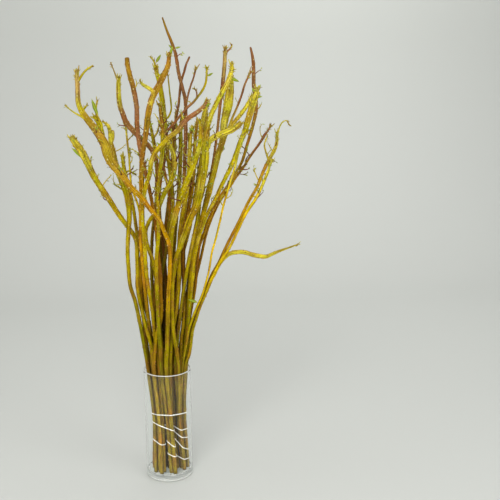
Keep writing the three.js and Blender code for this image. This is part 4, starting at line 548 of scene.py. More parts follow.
def settle(branches, bundles):
    """Moves the branches apart, level by level, in many small rounds.

    At each level two stems nearer than their half widths and a gap push each other away, bundles are drawn
    together below the bands, the glass pushes inwards, and each branch spreads its shift to its neighbours.
    """
    count = len(branches)
    levels = max(b["last"] for b in branches) + 1
    fields = {}
    for key in ("x", "y", "width", "thick", "face"):
        table = np.zeros((levels, count))
        for n, branch in enumerate(branches):
            table[branch["first"]:branch["last"] + 1, n] = branch[key][branch["first"]:]
        fields[key] = table
    x, y = fields["x"], fields["y"]
    half_w, half_t = fields["width"] / 2, fields["thick"] / 2
    cos_f, sin_f = np.cos(fields["face"]), np.sin(fields["face"])
    first = np.array([b["first"] for b in branches])
    last = np.array([b["last"] for b in branches])
    owner = np.array([b["stem"] for b in branches])
    bundle = np.array([bundles[b["stem"]] for b in branches])
    k = np.arange(levels)[:, None]
    z = k * STEP
    column = np.arange(count)[None, :]
    here = (k >= first) & (k <= last)
    low = np.clip(k - 1, first, last)
    high = np.clip(k + 1, first, last)
    rise = np.maximum(high - low, 1) * STEP
    i, j = np.triu_indices(count, 1)
    other = owner[i] != owner[j]
    i, j = i[other], j[other]
    both = here[:, i] & here[:, j]
    above = GAP_IN_BUNDLE + (GAP_ABOVE - GAP_IN_BUNDLE) * ease((z - VASE_HEIGHT) / GAP_OVER)
    gap = np.where((z < BANDS_BELOW) & (bundle[i] != bundle[j]), GAP_AT_BANDS, above)
    pairs = np.zeros((len(i), count))
    pairs[np.arange(len(i)), i] = 1.0
    pairs[np.arange(len(i)), j] = -1.0
    mates = (bundle[:, None] == bundle[None, :]).astype(float)
    tied = here & (z < BANDS_BELOW)
    mate_count = np.maximum(here @ mates, 1.0)
    glass = here & (k <= RIM_LEVEL + 1)
    move = np.zeros((2, levels, count))

    def support(c, nx, ny, lean_x, lean_y):
        """Half size of the branches c towards nx, ny: that of an oval, more where the branch leans."""
        across = nx * cos_f[:, c] + ny * sin_f[:, c]
        through = ny * cos_f[:, c] - nx * sin_f[:, c]
        lean = lean_x[:, c] * nx + lean_y[:, c] * ny
        half = np.hypot(across * half_w[:, c], through * half_t[:, c])
        return half * FLATS_ALLOWANCE * np.sqrt(1 + np.minimum(lean * lean, STEEPEST))

    every = np.arange(count)
    for _ in range(SETTLE_ROUNDS):
        lean_x = (x[high, column] - x[low, column]) / rise
        lean_y = (y[high, column] - y[low, column]) / rise
        dx, dy = x[:, i] - x[:, j], y[:, i] - y[:, j]
        distance = np.hypot(dx, dy) + 1e-6
        nx, ny = dx / distance, dy / distance
        short = support(i, nx, ny, lean_x, lean_y) + support(j, nx, ny, lean_x, lean_y) + gap - distance
        short = np.where(both & (short > 0) & (distance <= FAR_APART), short, 0.0) * SETTLE_RATE
        push = np.stack([(short * nx) @ pairs, (short * ny) @ pairs])
        push[0] += np.where(tied, (x * here) @ mates / mate_count - x, 0.0) * BUNDLE_PULL
        push[1] += np.where(tied, (y * here) @ mates / mate_count - y, 0.0) * BUNDLE_PULL
        radius = np.hypot(x, y) + 1e-6
        over = radius + support(every, x / radius, y / radius, lean_x, lean_y) - girth_at(z)
        over = np.where(glass & (over > 0), over, 0.0)
        push -= np.stack([x / radius * over, y / radius * over])
        moved = move + push
        new = SIDE_SHARE * moved[:, low, column] + OWN_SHARE * moved + SIDE_SHARE * moved[:, high, column]
        new = np.where(here, new, 0.0)
        for n, branch in enumerate(branches):
            if branch["parent"] is not None:
                new[:, branch["first"], n] = new[:, branch["first"], branch["parent"]]
        x += new[0] - move[0]
        y += new[1] - move[1]
        move = new
    for n, branch in enumerate(branches):
        branch["x"], branch["y"] = x[:branch["last"] + 1, n].copy(), y[:branch["last"] + 1, n].copy()
        branch["move_x"], branch["move_y"] = move[:, :branch["last"] + 1, n]


def at(branch, key, z):
    """A branch's value at a height, straight between its levels."""
    levels = np.arange(branch["first"], branch["last"] + 1)
    return float(np.interp(z / STEP, levels, branch[key][branch["first"]:]))


def resample(knots, step):
    """A smooth curve through the rows of knots, read again at even steps of its own length in x, y and z."""
    n = len(knots)
    place = np.linspace(0, n - 1, CURVE_POINTS * (n - 1) + 1)
    index = np.arange(n, dtype=float)
    dense = np.column_stack([smooth_at(index, knots[:, c], place) for c in range(knots.shape[1])])
    run = np.concatenate([[0.0], np.cumsum(np.linalg.norm(np.diff(dense[:, :3], axis=0), axis=1))])
    even = np.linspace(0.0, run[-1], max(int(run[-1] / step), 4) + 1)
    return np.column_stack([np.interp(even, run, dense[:, c]) for c in range(knots.shape[1])])


def branch_path(branch):
    """Rows of x, y, z, width, thickness and facing along a branch, at even steps."""
    keys = slice(branch["first"], branch["last"] + 1)
    z = np.arange(branch["first"], branch["last"] + 1) * STEP
    if branch["parent"] is None:
        z[0] = FOOT_HEIGHT
    rows = [branch["x"][keys], branch["y"][keys], z]
    rows += [branch["width"][keys], branch["thick"][keys], branch["face"][keys]]
    return resample(np.column_stack(rows), RING_STEP)


def twig_path(twig, branch):
    """Rows of x, y, z, width, thickness and facing along a twig: a rounded curve through its route."""
    route = np.array(twig["route"], float)
    start = twig["start"]
    move = np.array([at(branch, "move_x", start), at(branch, "move_y", start), 0.0])
    root = np.array([at(branch, "x", start), at(branch, "y", start), start])
    share = ease((np.arange(len(route)) + 1) / len(route))
    x, y, z = along_sight(route[:, 0], root[1] - move[1] + twig["swing"] * share, route[:, 1])
    points = np.vstack([root, np.column_stack([x, y, z]) + move])
    width = np.concatenate([[route[0, 2]], route[:, 2]])
    ends = np.vstack([2 * points[:1] - points[1:2], points, 2 * points[-1:] - points[-2:-1]])
    p0, p1, p2, p3 = ends[:-3], ends[1:-2], ends[2:-1], ends[3:]
    spans = ((p0, p1), (p1, p2), (p2, p3))
    d0, d1, d2 = (np.sqrt(np.linalg.norm(b - a, axis=1))[:, None] for a, b in spans)
    slope1 = ((p1 - p0) / d0 - (p2 - p0) / (d0 + d1) + (p2 - p1) / d1) * d1
    slope2 = ((p2 - p1) / d1 - (p3 - p1) / (d1 + d2) + (p3 - p2) / d2) * d1
    t = np.arange(TWIG_POINTS)[None, :, None] / TWIG_POINTS
    curve = hermite(p1[:, None], p2[:, None], slope1[:, None], slope2[:, None], t).reshape(-1, 3)
    curve = np.vstack([curve, points[-1:]])
    wide = np.interp(np.arange(len(curve)) / TWIG_POINTS, np.arange(len(width)), width)
    face = np.full(len(curve), at(branch, "face", start))
    rows = np.column_stack([curve, wide, np.minimum(wide, RIBBON_THICKNESS), face])
    return resample(rows, TWIG_STEP)


# Colours
def linear(*rgb):
    """Linear colour of an ordinary 0 to 255 colour."""
    c = np.array(rgb) / 255.0
    return np.where(c <= 0.04045, c / 12.92, ((c + 0.055) / 1.055) ** 2.4)


# Darker bark in the vase and low down: partly browner bark, partly painted shade for the glass and the stems
# around.
BARK_FOOT = linear(146, 124, 40)
BARK_LOW = dict(yellow=linear(174, 156, 0), olive=linear(144, 138, 0), brown=linear(153, 129, 0),
                red=linear(154, 128, 0))
BARK_MID = dict(yellow=linear(238, 200, 0), olive=linear(194, 171, 0), brown=linear(214, 158, 0),
                red=linear(192, 130, 18))
BARK_HIGH = dict(yellow=linear(228, 212, 60), olive=linear(200, 186, 14), brown=linear(170, 128, 32),
                 red=linear(163, 111, 70), tan=linear(204, 172, 90))
BRIGHT_BARK = linear(248, 236, 116)
LIVELY = dict(yellow=1.0, olive=0.9, tan=0.5, brown=0.4, red=0.12)
GREEN_BARK = linear(164, 172, 4)
RUSTY_BARK = linear(166, 96, 34)
# Painted shade: the dark brown that a ribbon's edges are drawn towards, standing in for the shade at a
# stem's sides.
EDGE_SHADE_BARK = linear(136, 78, 40)
TIP_BARK = linear(112, 78, 36)
CUT_WOOD = linear(206, 160, 116)
BUD_SKIN = linear(236, 224, 138)
BUD_LOW = linear(206, 132, 84)
BUD_SCAR = linear(104, 48, 22)
BUD_TIP = linear(150, 96, 48)
STUB_GREEN = linear(178, 176, 40)
STUB_PALE = linear(222, 212, 110)
STUB_BROWN = linear(124, 80, 34)
SHOOT_RED = linear(124, 62, 40)
SHOOT_YELLOW = linear(196, 172, 30)
LEAF_GREEN = linear(148, 170, 6)
LEAF_DARK = linear(94, 100, 14)
LEAF_STALK = linear(190, 164, 40)


def mix(a, b, share):
    """Straight blend from a to b by a share that broadcasts over the colours."""
    share = np.asarray(share)[..., None]
    return a + (b - a) * share


def wander(run, seed, length):
    """A smooth random line along a run: three sines of incommensurate lengths, between about -1 and 1."""
    phase = np.random.default_rng(seed).uniform(0, 2 * math.pi, 3)
    return (np.sin(run / length + phase[0]) + np.sin(run / length * 1.73 + phase[1])
            + np.sin(run / length * 3.1 + phase[2])) / 2.2


# Meshes
def grid_quads(rows, columns, start=0):
    """Corner numbers of the squares of a grid that closes round its columns."""
    r = np.arange(rows - 1)[:, None] * columns
    c = np.arange(columns)[None, :]
    d = (c + 1) % columns
    return np.stack([r + c, r + d, r + columns + d, r + columns + c], axis=-1).reshape(-1, 4) + start


def unit(vectors):
    """Rows made one long."""
    return vectors / np.linalg.norm(vectors, axis=-1, keepdims=True)


def frames(path):
    """Directions along a path, across its ribbon and through it, from its steps and its facing."""
    along = unit(np.gradient(path[:, :3], axis=0))
    out = np.column_stack([np.sin(path[:, 5]), -np.cos(path[:, 5]), np.zeros(len(path))])
    across = unit(np.cross(along, out))
    return along, across, np.cross(across, along)


def length_run(path):
    """Distance along a path at each of its rows."""
    return np.concatenate([[0.0], np.cumsum(np.linalg.norm(np.diff(path[:, :3], axis=0), axis=1))])


class Piece:
    """Collects the points, faces, tints and grain of one object before it is made."""

    def __init__(self):
        self.points, self.tints, self.grains = [], [], []
        self.faces, self.materials, self.count = [], [], 0

    def add(self, points, tints, grains, polygons, material):
        """Adds a surface. Polygons are arrays of corner numbers, one array for each number of corners."""
        self.points.append(points)
        self.tints.append(tints)
        self.grains.append(grains)
        for corners in polygons:
            self.faces.append(corners + self.count)
            self.materials.append(np.full(len(corners), material))
        self.count += len(points)

    def make(self, name, materials):
        """Makes the mesh object from the collected surfaces, in metres."""
        points = np.concatenate(self.points) * MM
        sizes = np.concatenate([np.full(len(f), f.shape[1]) for f in self.faces])
        loops = np.concatenate([f.ravel() for f in self.faces])
        mesh = bpy.data.meshes.new(name)
        mesh.vertices.add(len(points))
        mesh.vertices.foreach_set("co", points.ravel())
        mesh.loops.add(len(loops))
        mesh.loops.foreach_set("vertex_index", loops.astype(np.int32))
        mesh.polygons.add(len(sizes))
        starts = np.concatenate([[0], np.cumsum(sizes)[:-1]])
        mesh.polygons.foreach_set("loop_start", starts.astype(np.int32))
        mesh.polygons.foreach_set("material_index", np.concatenate(self.materials).astype(np.int32))
        mesh.polygons.foreach_set("use_smooth", np.ones(len(sizes), bool))
        mesh.update(calc_edges=True)
        tint = mesh.attributes.new("tint", "FLOAT_COLOR", "POINT")
        colour = np.column_stack([np.concatenate(self.tints), np.ones(len(points))])
        tint.data.foreach_set("color", colour.astype(np.float32).ravel())
        grain = mesh.attributes.new("grain", "FLOAT_VECTOR", "POINT")
        grain.data.foreach_set("vector", (np.concatenate(self.grains) * MM).astype(np.float32).ravel())
        for material in materials:
            mesh.materials.append(material)
        obj = bpy.data.objects.new(name, mesh)
        bpy.context.collection.objects.link(obj)
        return obj


def bark_tints(path, run, tones, seed):
    """Bark colour along a branch: by height from foot to crown, wandering between green, bright and rusty.

    The tones are those of the foot, the middle, the crown and the tip, and a lively tone wanders further.
    Each stem has its own depth of colour, most of all below the crown. Stems at the back are darker: painted
    shade that stands in for the shade of the stems in front.
    """
    height = path[:, 2]
    foot, middle, crown, tip = tones
    top = height.max()
    to_crown = ease((height - min(CROWN_FROM, top - CROWN_LENGTH)) / CROWN_OVER)
    to_tip = ease((height - top + TIP_LENGTH) / TIP_OVER)
    # Partly painted shade: the bark in the vase is drawn darker, for the dimming by the glass and the stems
    # around.
    in_vase = mix(BARK_FOOT, BARK_LOW[foot], 0.25)
    high = mix(BARK_HIGH[foot], BARK_HIGH[middle], 0.75)
    tint = mix(in_vase, BARK_LOW[foot], ease((height - LOW_FROM) / LOW_OVER))
    tint = mix(tint, BARK_MID[middle], ease((height - MID_FROM) / MID_OVER))
    tint = mix(tint, high, ease((height - HIGH_FROM) / HIGH_OVER))
    tint = mix(mix(tint, BARK_HIGH[crown], to_crown), BARK_HIGH[tip], to_tip)
    lively = LIVELY[middle] + (LIVELY[crown] - LIVELY[middle]) * to_crown
    lively = (lively + (LIVELY[tip] - lively) * to_tip) * ease((height - LIVELY_FROM) / LIVELY_OVER)
    hue = wander(run, seed + 3, 27.0)
    tint = mix(tint, GREEN_BARK, 0.42 * np.clip(hue, 0, 1) * lively)
    tint = mix(tint, RUSTY_BARK, 0.5 * np.clip(-hue - 0.1, 0, 1))
    tint = mix(tint, BRIGHT_BARK, 0.34 * np.clip(wander(run, seed + 7, 19.0) - 0.3, 0, 1) * lively)
    # Painted shade: stems further back are darkened by up to a quarter, fading out towards the crown.
    own = np.random.default_rng(seed // 100).uniform(0.78, 1.14) * (1 - 0.25 * ease((path[:, 1] + 5) / 40))
    depth = 1 + (own - 1) * (1 - 0.8 * ease((height - PARTED_FROM) / PARTED_OVER))
    return tint * (depth * (1 + 0.16 * wander(run, seed + 4, 13.0)))[:, None]


def bunch_shade(points, centre):
    """How far light reaches into the bunch, as a factor on the bark's colour.

    A point is placed by its distance from the bunch's middle as a share of the bunch's size at its height.
    Inner points are darker, and so are points on the side of a stem that faces the middle. The shade is
    deepest in the vase, where the stems are tied tight, and fades out towards the crown, where they part.
    """
    height = points[..., 2]
    middle, size = bunch_at(height)
    place = (points[..., :2] - middle) / size
    share = np.linalg.norm(place, axis=-1)
    turned = np.sum(unit(points[..., :2] - centre[..., :2] + 1e-6) * unit(place + 1e-6), axis=-1)
    tight = 1 - ease((height - TIED_BELOW) / TIED_OVER)
    inner = (0.68 + 0.16 * tight) * (1 - ease((share - 0.30) / 0.62))
    side = (0.42 + 0.18 * tight) * np.clip(0.3 + 0.35 * tight - turned, 0, 1)
    parted = ease((height - PARTED_FROM) / PARTED_OVER)
    return 1 - np.minimum(inner + side, DEEPEST_SHADE) * (1 - 0.78 * parted)


def add_tube(piece, path, sides, tint, seed, cut_foot):
    """A stem's skin: an oval section carried along a path, ridged along its faces.

    At share u round the section the point is the centre, plus half the width times the cosine of u across,
    plus half the thickness times the sine of u through, both raised to a power that squares a ribbon off.
    Faces are lifted by two cosines of the distance across, which makes ridges that run along the ribbon.
    The tip closes over a small dome and the foot over a flat cut.
    """
    along, across, through = frames(path)
    run = length_run(path)
    half_w = path[:, 3] / 2 * (1 + 0.04 * wander(run, seed, 6.0))
    half_t = path[:, 4] / 2 * (1 + 0.06 * wander(run, seed + 1, 7.0))
    flat = np.clip(1 - path[:, 4] / path[:, 3], 0.0, 0.8)
    dome_share = np.array([0.96, 0.82, 0.5])
    dome_rise = np.array([0.35, 0.7, 0.95])
    last = len(path) - 1
    pick = np.concatenate([np.arange(len(path)), np.full(len(dome_rise), last)])
    rise = np.concatenate([np.zeros(len(path)), dome_rise * half_t[-1]])
    shrink = np.concatenate([np.ones(len(path)), dome_share])
    along, across, through, tint = along[pick], across[pick], through[pick], tint[pick]
    centre = path[pick, :3] + along * rise[:, None]
    run, flat = run[pick] + rise, flat[pick]
    half_w, half_t = half_w[pick] * shrink, half_t[pick] * shrink
    even = 2 * math.pi * np.arange(sides) / sides
    turn = even[None, :] + EDGE_CROWDING * flat[:, None] * np.sin(2 * even)[None, :]
    power = (2 / (2 + 1.2 * flat))[:, None]
    c = np.sign(np.cos(turn)) * np.abs(np.cos(turn)) ** power
    s = np.sign(np.sin(turn)) * np.abs(np.sin(turn)) ** power
    wide = half_w[:, None] * c
    phase = wander(run, seed + 2, 45.0)[:, None]
    ridge = 0.6 * np.cos(2 * math.pi * wide / RIDGE_SPACINGS[0] + 2.0 * phase)
    ridge += 0.4 * np.cos(2 * math.pi * wide / RIDGE_SPACINGS[1] - phase)
    ridge *= (np.clip(half_t, 0, 3) * 0.16 * np.clip(flat * 2.4, 0.10, 1))[:, None] * np.abs(s) ** 0.5
    deep = (half_t[:, None] + ridge) * s
    points = centre[:, None] + across[:, None] * wide[..., None] - through[:, None] * deep[..., None]
    if cut_foot:
        points[0, :, 2] = FOOT_HEIGHT + FOOT_CHIPS * np.sin(even + seed)
    tint = mix(tint, TIP_BARK, 0.55 * ease(1 - (run[-1] - run) / 10))
    tint = np.repeat(tint[:, None], sides, axis=1)
    # Painted shade: the edges across a ribbon are darkened towards brown, standing in for the shade at its
    # sides.
    tint = mix(tint, EDGE_SHADE_BARK, 0.65 * np.abs(c) ** 5 * np.clip(flat * 2, 0.3, 1)[:, None])
    # Painted shade: the hollows between the ridges are darkened by up to 40 per cent, standing in for their
    # shade.
    tint = mix(tint, tint * 0.5, np.clip(-ridge / 0.4, 0, 1) * 0.8)
    tint = tint * bunch_shade(points, centre[:, None])[..., None]
    side = np.sign(s) * 40.0 + seed * 13.7
    grain = np.stack(np.broadcast_arrays(wide, run[:, None], side), axis=-1)
    if cut_foot:
        middle = points[0].mean(axis=0)
        rims = [middle + (points[0] - middle) * share for share in (0.5, 0.96)]
        shades = [np.tile(CUT_WOOD * share, (sides, 1)) for share in (0.8, 1.0)]
        points, tint = np.concatenate([rims, points]), np.concatenate([shades, tint])
        grain = np.concatenate([grain[:1], grain[:1], grain])
    count = len(points)
    ends = np.vstack([np.arange(sides)[::-1], (count - 1) * sides + np.arange(sides)])
    piece.add(points.reshape(-1, 3), tint.reshape(-1, 3), grain.reshape(-1, 3),
              [grid_quads(count, sides), ends], BARK_SLOT)


# Outlines of the small bodies: places along the length, and the girth at each of them
BUD = np.array([-0.10, 0.30, 0.72, 1.0]), np.array([1.15, 1.15, 0.85, 0.12])
STUB = np.array([0.0, 0.30, 0.70, 1.0]), np.array([0.8, 1.0, 0.75, 0.10])
SHOOT = np.linspace(0.0, 1.0, 8), np.linspace(1.15, 0.55, 8)
LEAF = np.array([0.0, 0.14, 0.32, 0.56, 0.80, 1.0]), np.array([0.16, 0.20, 0.80, 1.00, 0.62, 0.05])
FINGER = np.array([0.0, 0.35, 0.7, 0.92, 1.0]), np.array([1.0, 1.0, 0.85, 0.6, 0.2])


def add_spindles(piece, base, axis, top, length, wide, deep, bend, profile, shades, sides, material):
    """Many small pointed bodies at once.

    Each is a set of ovals along a circular arc that leaves along its axis and turns towards top through the
    angle bend. The ovals follow the profile. Their width lies across the arc and their depth in its plane.
    """
    places, girths = profile
    side = unit(np.cross(top, axis))
    lift = np.cross(axis, side)
    ring = 2 * math.pi * np.arange(sides) / sides
    bend = np.where(np.abs(bend) < 0.01, 0.01, bend)[:, None, None, None]
    size = length[:, None, None, None]
    t = places[None, :, None, None]
    g = girths[None, :, None, None]
    turned = bend * t
    oval_x = wide[:, None, None, None] * g * np.cos(ring)[None, None, :, None]
    oval_y = deep[:, None, None, None] * g * np.sin(ring)[None, None, :, None]
    ahead = size * np.sin(turned) / bend - oval_y * np.sin(turned)
    rise = size * (1 - np.cos(turned)) / bend + oval_y * np.cos(turned)
    points = base[:, None, None] + axis[:, None, None] * ahead + lift[:, None, None] * rise
    points = points + side[:, None, None] * oval_x
    many, rows = len(base), len(places)
    shape = (many, rows, sides, 3)
    tint = np.broadcast_to(shades[:, :, None], shape)
    own = np.arange(many)[:, None, None, None] * 3.7
    parts = [np.broadcast_to(part, shape[:3] + (1,)) for part in (oval_x, size * t, own)]
    grain = np.concatenate(parts, axis=-1)
    offset = (np.arange(many) * rows * sides)[:, None, None]
    quads = (grid_quads(rows, sides)[None] + offset).reshape(-1, 4)
    ends = np.vstack([np.arange(sides)[None, ::-1], (rows - 1) * sides + np.arange(sides)[None, :]])
    caps = (ends[None] + offset).reshape(-1, sides)
    piece.add(points.reshape(-1, 3), tint.reshape(-1, 3), grain.reshape(-1, 3), [quads, caps], material)


def surface_points(path, place, turn):
    """Points on a tube's skin at fractional rows and turns.

    Each is the centre plus half the width times the cosine of the turn across, less half the thickness times
    its sine through. Given back are the skin, the way out, the way along and the centre's row.
    """
    rows = np.arange(len(path))
    table = np.column_stack([path, *frames(path)])
    table = np.column_stack([np.interp(np.clip(place, 0, rows[-1]), rows, column) for column in table.T])
    centre, ahead, wide_way, deep_way = table[:, :6], table[:, 6:9], table[:, 9:12], table[:, 12:15]
    half_w, half_t = centre[:, 3:4] / 2, centre[:, 4:5] / 2
    c, s = np.cos(turn)[:, None], np.sin(turn)[:, None]
    out = unit(wide_way * (c / half_w) - deep_way * (s / half_t))
    skin = centre[:, :3] + wide_way * half_w * c - deep_way * half_t * s
    return skin, out, ahead, centre


def add_buds(piece, path, tint, seed):
    """Buds in a golden spiral up a branch: so many to each area of bark, small scars on the lower bark."""
    draw = np.random.default_rng(seed)
    height = path[1:, 2]
    area = AREA_LOW + (AREA_MID - AREA_LOW) * ease((height - SCARS_FROM) / SCARS_OVER)
    area = area + (AREA_HIGH - AREA_MID) * ease((height - BUDS_FROM) / BUDS_OVER)
    density = OUTLINE_SHARE * (path[1:, 3] + path[1:, 4]) / area
    total = np.concatenate([[0.0], np.cumsum(np.diff(length_run(path)) * density)])
    many = int(total[-1]) - 1
    if many < 1:
        return
    rows = np.arange(len(path))
    place = np.interp(np.arange(1, many + 1) + draw.uniform(-0.45, 0.45, many), total, rows)
    turn = np.arange(many) * GOLDEN_ANGLE + seed + draw.uniform(-0.5, 0.5, many)
    skin, out, ahead, centre = surface_points(path, place, turn)
    bark_here = np.column_stack([np.interp(place, rows, column) for column in tint.T])
    full = ease((centre[:, 2] - BUDS_FROM) / BUDS_OVER)
    axis = unit(ahead * 0.9 + out * draw.uniform(0.2, 0.5, many)[:, None])
    size = draw.uniform(0.55, 1.15, many) * (0.85 + 0.15 * full) * np.clip(centre[:, 3] / 8, 0.6, 1.0)
    ripe = mix(bark_here, mix(BUD_LOW, BUD_SKIN, full), draw.uniform(0.15, 0.9, many))
    shade = np.repeat((ripe * bunch_shade(skin, centre)[:, None])[:, None], len(BUD[0]), axis=1)
    shade[:, 0] = BUD_SCAR
    shade[:, 1] = mix(shade[:, 1], BUD_SCAR, draw.uniform(0.0, 0.5, many))
    shade[:, 3] = mix(shade[:, 3], BUD_TIP, draw.uniform(0, 0.8, many))
    add_spindles(piece, skin - out * 0.4, axis, out, 4.0 * size, 1.3 * size, 0.95 * size,
                 draw.uniform(-0.6, 0.0, many), BUD, shade, STUB_SIDES, BUD_SLOT)


def add_tuft(piece, path, seed, many, reach):
    """A tuft at a tip: small pointed stubs, some green and some dry, leaning out all round."""
    draw = np.random.default_rng(seed)
    run = length_run(path)
    place = np.interp(run[-1] - reach * draw.uniform(0, 1, many) ** 1.5, run, np.arange(len(path)))
    turn = np.arange(many) * GOLDEN_ANGLE + seed
    skin, out, ahead, _ = surface_points(path, place, turn)
    axis = unit(ahead * 0.8 + out * draw.uniform(0.3, 1.0, many)[:, None])
    shade = mix(STUB_GREEN, STUB_BROWN, draw.uniform(0, 1, many))
    shade = np.repeat(mix(shade, STUB_PALE, draw.uniform(0, 0.6, many))[:, None], len(STUB[0]), axis=1)
    shade[:, 0] = STUB_BROWN
    length = draw.uniform(3.5, 9.0, many)
    wide = draw.uniform(0.9, 1.9, many)
    deep = draw.uniform(0.5, 0.9, many)
    bend = draw.uniform(-0.8, 1.4, many)
    add_spindles(piece, skin - out * 0.8, axis, out, length, wide, deep, bend, STUB, shade,
                 STUB_SIDES, BUD_SLOT)


def add_fingers(piece, path, tint, seed):
    """A ribbon's end breaking up: short blunt ribs side by side, splaying a little past the skin's end."""
    draw = np.random.default_rng(seed)
    many = int(np.clip(round(path[-1, 3] / 2.3), 2, 6))
    along, across, through = (way[-1] for way in frames(path))
    place = np.linspace(-1, 1, many)
    base = path[-1, :3] + across * (place * path[-1, 3] * 0.36)[:, None] - along * 4.0
    splay = place * draw.uniform(0.0, 0.5, many)
    axis = unit(along + across * splay[:, None] + through * draw.uniform(-0.25, 0.25, many)[:, None])
    shade = mix(tint[-4], BRIGHT_BARK, draw.uniform(0, 0.6, many))
    shade = np.repeat(shade[:, None], len(FINGER[0]), axis=1)
    shade[:, 3:] = mix(shade[:, 3:], TIP_BARK, draw.uniform(0.2, 0.9, many)[:, None])
    size = path[-1, 3] / many
    add_spindles(piece, base, axis, np.tile(through, (many, 1)), draw.uniform(7.0, 15.0, many),
                 np.full(many, size * 0.58), np.full(many, min(size * 0.55, path[-1, 4] * 0.5)),
                 draw.uniform(-0.6, 0.6, many), FINGER, shade, SHOOT_SIDES, BARK_SLOT)


def add_shoots(piece, path, seed, low, gap, longest):
    """Thin curling shoots off the upper bark: each is an arc that bends upwards and carries small leaves."""
    draw = np.random.default_rng(seed)
    run = length_run(path)
    start = np.interp(low, path[:, 2], run)
    many = int(max(run[-1] - 6 - start, 0) / gap)
    if many < 1:
        return
    spaced = start + gap * (np.arange(many) + draw.uniform(0, 0.9, many))
    place = np.interp(spaced, run, np.arange(len(path)))
    turn = draw.uniform(0, 2 * math.pi, many)
    skin, out, ahead, _ = surface_points(path, place, turn)
    axis = unit(ahead * draw.uniform(0.2, 0.9, many)[:, None] + out)
    top = unit(np.array([0.0, 0.0, 1.0]) + draw.uniform(-0.8, 0.8, (many, 3)))
    length = draw.uniform(8.0, longest, many)
    bend = draw.uniform(0.3, 2.6, many)
    girth = draw.uniform(0.7, 1.5, many)
    red = draw.uniform(0, 1, many) < 0.4
    shade = np.repeat(np.where(red[:, None], SHOOT_RED, SHOOT_YELLOW)[:, None], len(SHOOT[0]), axis=1)
    shade = shade * draw.uniform(0.6, 1.1, many)[:, None, None]
    add_spindles(piece, skin - out * 1.2, axis, top, length, girth, girth, bend, SHOOT, shade,
                 SHOOT_SIDES, BUD_SLOT)
    side = unit(np.cross(top, axis))
    lift = np.cross(axis, side)
    for share in LEAFLET_PLACES:
        turned = bend * share
        base = skin + axis * (length * np.sin(turned) / bend)[:, None]
        base = base + lift * (length * (1 - np.cos(turned)) / bend)[:, None]
        way = axis * np.cos(turned)[:, None] + lift * np.sin(turned)[:, None]
        way = unit(way + draw.uniform(-0.8, 0.8, (many, 3)))
        green = mix(LEAF_GREEN, LEAF_DARK, draw.uniform(0, 1, many))
        tone = np.repeat(mix(green, STUB_GREEN, draw.uniform(0, 1, many))[:, None], len(LEAF[0]), axis=1)
        tone[:, 0] = LEAF_STALK
        size = draw.uniform(3.0, 10.0, many)
        add_spindles(piece, base, way, np.cross(way, side), size, size * 0.18, size * 0.06,
                     draw.uniform(-0.8, 1.2, many), LEAF, tone, SHOOT_SIDES, LEAF_SLOT)


def add_leaves(piece, base, reach, seed):
    """Narrow willow leaves: thin ovals that bow back from the viewer, on short stalks."""
    draw = np.random.default_rng(seed)
    many = len(base)
    top = np.column_stack([draw.uniform(-0.5, 0.5, many), np.full(many, -1.0), draw.uniform(0.0, 0.6, many)])
    length = np.linalg.norm(reach, axis=1)
    axis = reach / length[:, None]
    shade = np.repeat(mix(LEAF_GREEN, LEAF_DARK, draw.uniform(0, 0.6, many))[:, None], len(LEAF[0]), axis=1)
    shade[:, :2] = LEAF_STALK
    add_spindles(piece, base, axis, top, length, np.clip(length * 0.14, 1.6, 3.8), np.full(many, 0.45),
                 draw.uniform(-0.7, 0.2, many), LEAF, shade, LEAF_SIDES, LEAF_SLOT)


# Materials
RUST = (0.20, 0.075, 0.016, 1.0)
STAIN = (0.16, 0.065, 0.012, 1.0)
SCAB = (0.50, 0.33, 0.14, 1.0)
NICK = (0.115, 0.05, 0.012, 1.0)
PORE = (0.085, 0.026, 0.012, 1.0)
MIDRIB = (0.45, 0.5, 0.12, 1.0)
CLEAR_GLASS = (0.985, 0.995, 0.99, 1.0)
THROUGH_GLASS = (0.94, 0.96, 0.95, 1.0)
# Painted highlight: the pale colour of the glass at the rim and foot.
PALE_HIGHLIGHT_GLASS = (0.90, 0.92, 0.89, 1.0)
GLASS_BEND = 1.36
RUBBER_SOILED = (0.80, 0.77, 0.68)
RUBBER_CLEAN = (0.92, 0.91, 0.86)
PAPER_LOW = (0.56, 0.575, 0.545)
PAPER_HIGH = (0.58, 0.595, 0.565)


def new_material(name):
    """A node material with an output and a principled shader: the material, its nodes and the shader."""
    material = bpy.data.materials.new(name)
    material.use_nodes = True
    tree = material.node_tree
    tree.nodes.clear()
    output = tree.nodes.new("ShaderNodeOutputMaterial")
    shader = tree.nodes.new("ShaderNodeBsdfPrincipled")
    tree.links.new(shader.outputs["BSDF"], output.inputs["Surface"])
    return material, tree, shader


def node(tree, kind, inputs=(), **settings):
    """Adds a node, sets its properties, and links or fills its inputs."""
    made = tree.nodes.new(kind)
    for key, value in settings.items():
        setattr(made, key, value)
    for key, value in dict(inputs).items():
        if isinstance(value, bpy.types.NodeSocket):
            tree.links.new(value, made.inputs[key])
        else:
            made.inputs[key].default_value = value
    return made


def ramp(tree, factor, stops):
    """A colour ramp with the given stops: position and grey value or colour."""
    made = node(tree, "ShaderNodeValToRGB", {"Fac": factor})
    elements = made.color_ramp.elements
    while len(elements) < len(stops):
        elements.new(0.5)
    for element, (position, value) in zip(elements, stops):
        element.position = position
        rgb = value if isinstance(value, tuple) else (value, value, value)
        element.color = (*rgb, 1.0)
    return made.outputs["Color"]


def blend_colours(tree, kind, factor, a, b):
    """Mixes two colours in the given way by a factor."""
    made = node(tree, "ShaderNodeMix", data_type="RGBA", blend_type=kind)
    for socket, value in ((made.inputs[0], factor), (made.inputs[6], a), (made.inputs[7], b)):
        if isinstance(value, bpy.types.NodeSocket):
            tree.links.new(value, socket)
        else:
            socket.default_value = value
    return made.outputs[2]


def stretched(tree, vector, scale):
    """A vector multiplied axis by axis."""
    return node(tree, "ShaderNodeVectorMath", {0: vector, 1: scale}, operation="MULTIPLY").outputs["Vector"]


